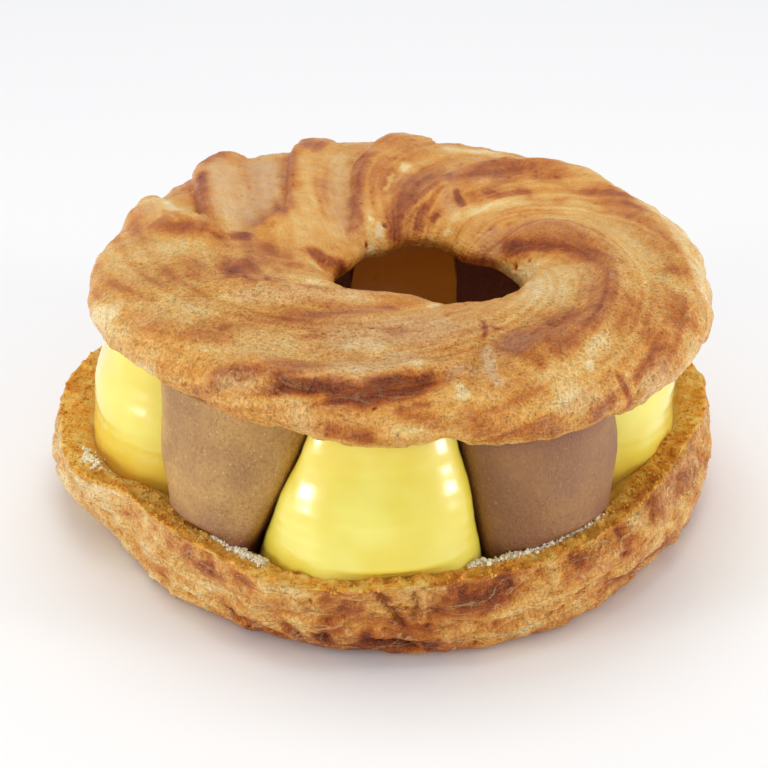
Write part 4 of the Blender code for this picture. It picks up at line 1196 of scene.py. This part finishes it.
def chocolate_material(settings):
    """Milk-chocolate cream: dull satin, with fine pale and dark specks."""
    if "Chocolate cream" in bpy.data.materials:
        return bpy.data.materials["Chocolate cream"]
    made, tree, shader = new_material("Chocolate cream")
    place = add_node(tree, "ShaderNodeTexCoord").outputs["Object"]
    cloudy = grainy(tree, place, 120, 3)
    fine = grainy(tree, place, 1900, 3, roughness=0.6)
    speck = add_node(tree, "ShaderNodeTexVoronoi", {"Vector": place, "Scale": 900}).outputs["Distance"]
    colour = mixed(tree, limits(tree, cloudy, 0.3, 0.7), (*settings.chocolate_dark, 1),
                   (*settings.chocolate_colour, 1))
    colour = mixed(tree, limits(tree, fine, 0.48, 0.75, 0.0, 0.5), colour, (0.24, 0.115, 0.035, 1))
    colour = mixed(tree, limits(tree, fine, 0.44, 0.28, 0.0, 0.35), colour, (0.72, 0.44, 0.18, 1))
    colour = mixed(tree, limits(tree, speck, 0.16, 0.06, 0.0, 0.6), colour, (0.82, 0.60, 0.32, 1))
    # Painted shade: the cream goes dark where the dollop's shade attribute is high.
    colour = mixed(tree, attribute(tree, "shade"), colour, (*settings.chocolate_shade_colour, 1))
    bump = add_node(tree, "ShaderNodeBump", {"Height": reckon(tree, "ADD", fine, cloudy), "Strength": 0.9,
                                             "Distance": 0.00035})
    tree.links.new(colour, shader.inputs["Base Color"])
    tree.links.new(bump.outputs[0], shader.inputs["Normal"])
    shader.inputs["Roughness"].default_value = 0.48
    shader.inputs["Subsurface Weight"].default_value = 0.10
    shader.inputs["Subsurface Radius"].default_value = (1.0, 0.5, 0.25)
    shader.inputs["Subsurface Scale"].default_value = 0.001
    return made


# Stage -----------------------------------------------------------------------------------------

def soft_light(name, place, size, power, colour, target):
    data = bpy.data.lights.new(name, "AREA")
    data.shape = "RECTANGLE"
    data.size, data.size_y = size
    data.energy = power
    data.color = colour
    light = bpy.data.objects.new(name, data)
    light.location = place
    light.rotation_euler = (Vector(target) - Vector(place)).to_track_quat("-Z", "Y").to_euler()
    bpy.context.scene.collection.objects.link(light)


def build_stage(settings):
    scene = bpy.context.scene
    aim = Vector((0, 0, settings.aim_height))
    data = bpy.data.cameras.new("Camera")
    camera = bpy.data.objects.new("Camera", data)
    scene.collection.objects.link(camera)
    tilt = settings.camera_tilt
    camera.location = (0, -settings.camera_distance * cos(tilt), settings.camera_distance * sin(tilt))
    camera.rotation_euler = (aim - camera.location).to_track_quat("-Z", "Y").to_euler()
    data.lens = settings.lens
    data.sensor_width = 36
    data.shift_x = 0.0013
    data.clip_start = 0.01
    scene.camera = camera

    deselect_all()
    bpy.ops.mesh.primitive_plane_add(size=6, location=(0, 0, -0.0001))
    floor = bpy.context.object
    floor.name = "floor"
    made, _, shader = new_material("Floor")
    shader.inputs["Base Color"].default_value = (*settings.floor_colour, 1)
    shader.inputs["Roughness"].default_value = 0.9
    shader.inputs["Specular IOR Level"].default_value = 0.0
    floor.data.materials.append(made)

    world = bpy.data.worlds.new("World")
    world.use_nodes = True
    background = world.node_tree.nodes["Background"]
    background.inputs["Color"].default_value = (1.0, 1.0, 1.0, 1)
    background.inputs["Strength"].default_value = settings.sky
    scene.world = world
    soft_light("Key", (0.0, 0.05, 0.60), (0.4, 0.4), settings.key, (1.0, 1.0, 1.0), aim)
    soft_light("Left window", (-0.47, -0.22, 0.09), (0.12, 0.15), settings.left, (1.0, 1.0, 1.0), aim)
    soft_light("Right window", (0.48, -0.17, 0.09), (0.12, 0.15), settings.right, (1.0, 1.0, 1.0), aim)
    scene.view_settings.view_transform = "Standard"


# Settings --------------------------------------------------------------------------------------

def colour_property(name, description, default):
    return bpy.props.FloatVectorProperty(
        name=name, description=description, default=default, subtype="COLOR", size=3, min=0.0, max=1.0)


class ChouxSettings(bpy.types.PropertyGroup):
    fold_depth: bpy.props.FloatProperty(
        name="Fold depth", description="Depth of the lid's piped folds", default=1.0, min=0.0, max=2.0,
        subtype="FACTOR")
    wrinkle_depth: bpy.props.FloatProperty(
        name="Wrinkle depth", description="Depth of the lid's fine wrinkles", default=0.00016,
        min=0.0, max=0.002, unit="LENGTH", precision=5)
    wall_depth: bpy.props.FloatProperty(
        name="Wall depth", description="Depth of the rough folds on the base's wall", default=0.00055,
        min=0.0, max=0.003, unit="LENGTH", precision=5)
    egg_wash: bpy.props.FloatProperty(
        name="Egg wash", description="Gloss of the egg wash on the crust", default=0.40, min=0.0, max=1.0,
        subtype="FACTOR")
    cream_colour: colour_property("Pale crust", "Crust that has hardly browned", (0.90, 0.70, 0.36))
    straw_colour: colour_property("Straw crust", "Lightly browned crust", (0.80, 0.49, 0.150))
    gold_colour: colour_property("Golden crust", "Crust baked golden", (0.71, 0.325, 0.058))
    amber_colour: colour_property("Amber crust", "Crust baked orange-brown", (0.56, 0.180, 0.021))
    brown_colour: colour_property("Brown crust", "Well browned crust", (0.38, 0.080, 0.009))
    char_colour: colour_property("Darkest crust", "Crust nearly burnt", (0.17, 0.024, 0.004))
    # Painted sheen: the egg wash's reflection of white light, as a greyish pink.
    sheen_colour: colour_property("Painted sheen", "Matt greyish pink of the hollows", (0.68, 0.44, 0.28))
    speck_colour: colour_property("Pale speck", "Cream tips of the skin's grain", (0.95, 0.70, 0.33))
    pit_colour: colour_property("Dark speck", "Brown pits between the grain", (0.34, 0.085, 0.014))

    def bake_colours(self):
        places = (0.0, 0.20, 0.42, 0.60, 0.78, 1.0)
        colours = (self.cream_colour, self.straw_colour, self.gold_colour, self.amber_colour,
                   self.brown_colour, self.char_colour)
        return [(place, (*colour, 1)) for place, colour in zip(places, colours)]


class CreamSettings(bpy.types.PropertyGroup):
    custard_colour: colour_property("Custard", "Deeper colour of the custard", (0.86, 0.72, 0.068))
    custard_pale: colour_property("Pale custard", "Lighter colour of the custard", (0.92, 0.84, 0.17))
    chocolate_colour: colour_property("Chocolate cream", "Colour of the chocolate cream", (0.58, 0.325, 0.092))
    chocolate_dark: colour_property("Dark chocolate cream", "Its darker clouds", (0.40, 0.205, 0.062))
    # Painted shade: the amber that the custard turns in the hole's shadow, at its foot and under the lid.
    custard_shade_colour: colour_property("Shaded custard", "Custard's amber skin towards the hole", (0.95, 0.40, 0.05))
    # Painted shade: the dark that the chocolate cream turns in shadow.
    chocolate_shade_colour: colour_property("Shaded chocolate", "Chocolate cream towards the hole", (0.20, 0.06, 0.035))


class StageSettings(bpy.types.PropertyGroup):
    camera_distance: bpy.props.FloatProperty(
        name="Camera distance", description="Distance of the camera from the pastry's middle", default=0.4,
        unit="LENGTH")
    camera_tilt: bpy.props.FloatProperty(
        name="Camera tilt", description="How steeply the camera looks down", default=radians(31),
        subtype="ANGLE")
    aim_height: bpy.props.FloatProperty(
        name="Aim height", description="Height that the camera looks at", default=0.0184, unit="LENGTH")
    lens: bpy.props.FloatProperty(name="Lens", description="Focal length in millimetres", default=121.3)
    floor_colour: colour_property("Floor", "Colour of the table", (0.93, 0.932, 0.945))
    sky: bpy.props.FloatProperty(name="Sky", description="Strength of the even light", default=0.63, min=0.0)
    key: bpy.props.FloatProperty(name="Key", description="Power of the light above", default=1.36, unit="POWER")
    left: bpy.props.FloatProperty(name="Left", description="Power of the left window", default=1.0, unit="POWER")
    right: bpy.props.FloatProperty(name="Right", description="Power of the right window", default=0.9, unit="POWER")


class PASTRY_OT_stage(bpy.types.Operator):
    """Set up the camera, the table and the lights"""

    bl_idname = "pastry.stage"
    bl_label = "Stage"

    def execute(self, context):
        build_stage(context.scene.pastry_stage)
        return {"FINISHED"}


class PASTRY_OT_base(bpy.types.Operator):
    """Model the cut lower half with its rough wall and trough"""

    bl_idname = "pastry.base"
    bl_label = "Choux base"

    def execute(self, context):
        choux_base(context.scene.pastry_choux)
        return {"FINISHED"}


class PASTRY_OT_cream(bpy.types.Operator):
    """Model the eight piped dollops of custard and chocolate cream"""

    bl_idname = "pastry.cream"
    bl_label = "Cream dollops"

    def execute(self, context):
        for index in range(len(DOLLOPS)):
            dollop(index, context.scene.pastry_cream)
        return {"FINISHED"}


class PASTRY_OT_lid(bpy.types.Operator):
    """Model the swirled lid with its folds and browning"""

    bl_idname = "pastry.lid"
    bl_label = "Choux lid"

    def execute(self, context):
        choux_lid(context.scene.pastry_choux)
        return {"FINISHED"}


class PASTRY_OT_crumbs(bpy.types.Operator):
    """Scatter the white and brown crumbs of the cut face"""

    bl_idname = "pastry.crumbs"
    bl_label = "Crumbs"

    def execute(self, context):
        crumb_heap("white_crumbs", 10, froth_places, (0.13, 0.34), 301, froth_material())
        crumbs = crumb_heap("brown_crumbs", 11, rim_places, (0.12, 0.30), 302, crumb_material("Crumbs"))
        points = read_points(crumbs)
        write_value(crumbs, "toast", 0.50 + 0.20 * noise(points, 2.5, 303))
        return {"FINISHED"}


class PASTRY_PT_panel(bpy.types.Panel):
    """Lists the pastry's pieces and their settings"""

    bl_idname = "PASTRY_PT_panel"
    bl_label = "Pastry"
    bl_space_type = "VIEW_3D"
    bl_region_type = "UI"
    bl_category = "Pastry"

    def draw(self, context):
        layout = self.layout
        scene = context.scene
        for kind in STEPS:
            layout.operator(kind.bl_idname)
        for group in (scene.pastry_choux, scene.pastry_cream, scene.pastry_stage):
            column = layout.column()
            for name in group.__annotations__:
                column.prop(group, name)


GROUPS = (("pastry_choux", ChouxSettings), ("pastry_cream", CreamSettings), ("pastry_stage", StageSettings))
STEPS = (PASTRY_OT_stage, PASTRY_OT_base, PASTRY_OT_cream, PASTRY_OT_lid, PASTRY_OT_crumbs)


def register():
    for _, group in GROUPS:
        bpy.utils.register_class(group)
    for kind in (*STEPS, PASTRY_PT_panel):
        bpy.utils.register_class(kind)
    for name, group in GROUPS:
        setattr(bpy.types.Scene, name, bpy.props.PointerProperty(type=group))


def unregister():
    for name, _ in GROUPS:
        delattr(bpy.types.Scene, name)
    for kind in (PASTRY_PT_panel, *reversed(STEPS)):
        bpy.utils.unregister_class(kind)
    for _, group in reversed(GROUPS):
        bpy.utils.unregister_class(group)


def main():
    register()
    bpy.ops.pastry.stage()
    bpy.ops.pastry.base()
    bpy.ops.pastry.cream()
    bpy.ops.pastry.lid()
    bpy.ops.pastry.crumbs()


if __name__ == "__main__":
    main()
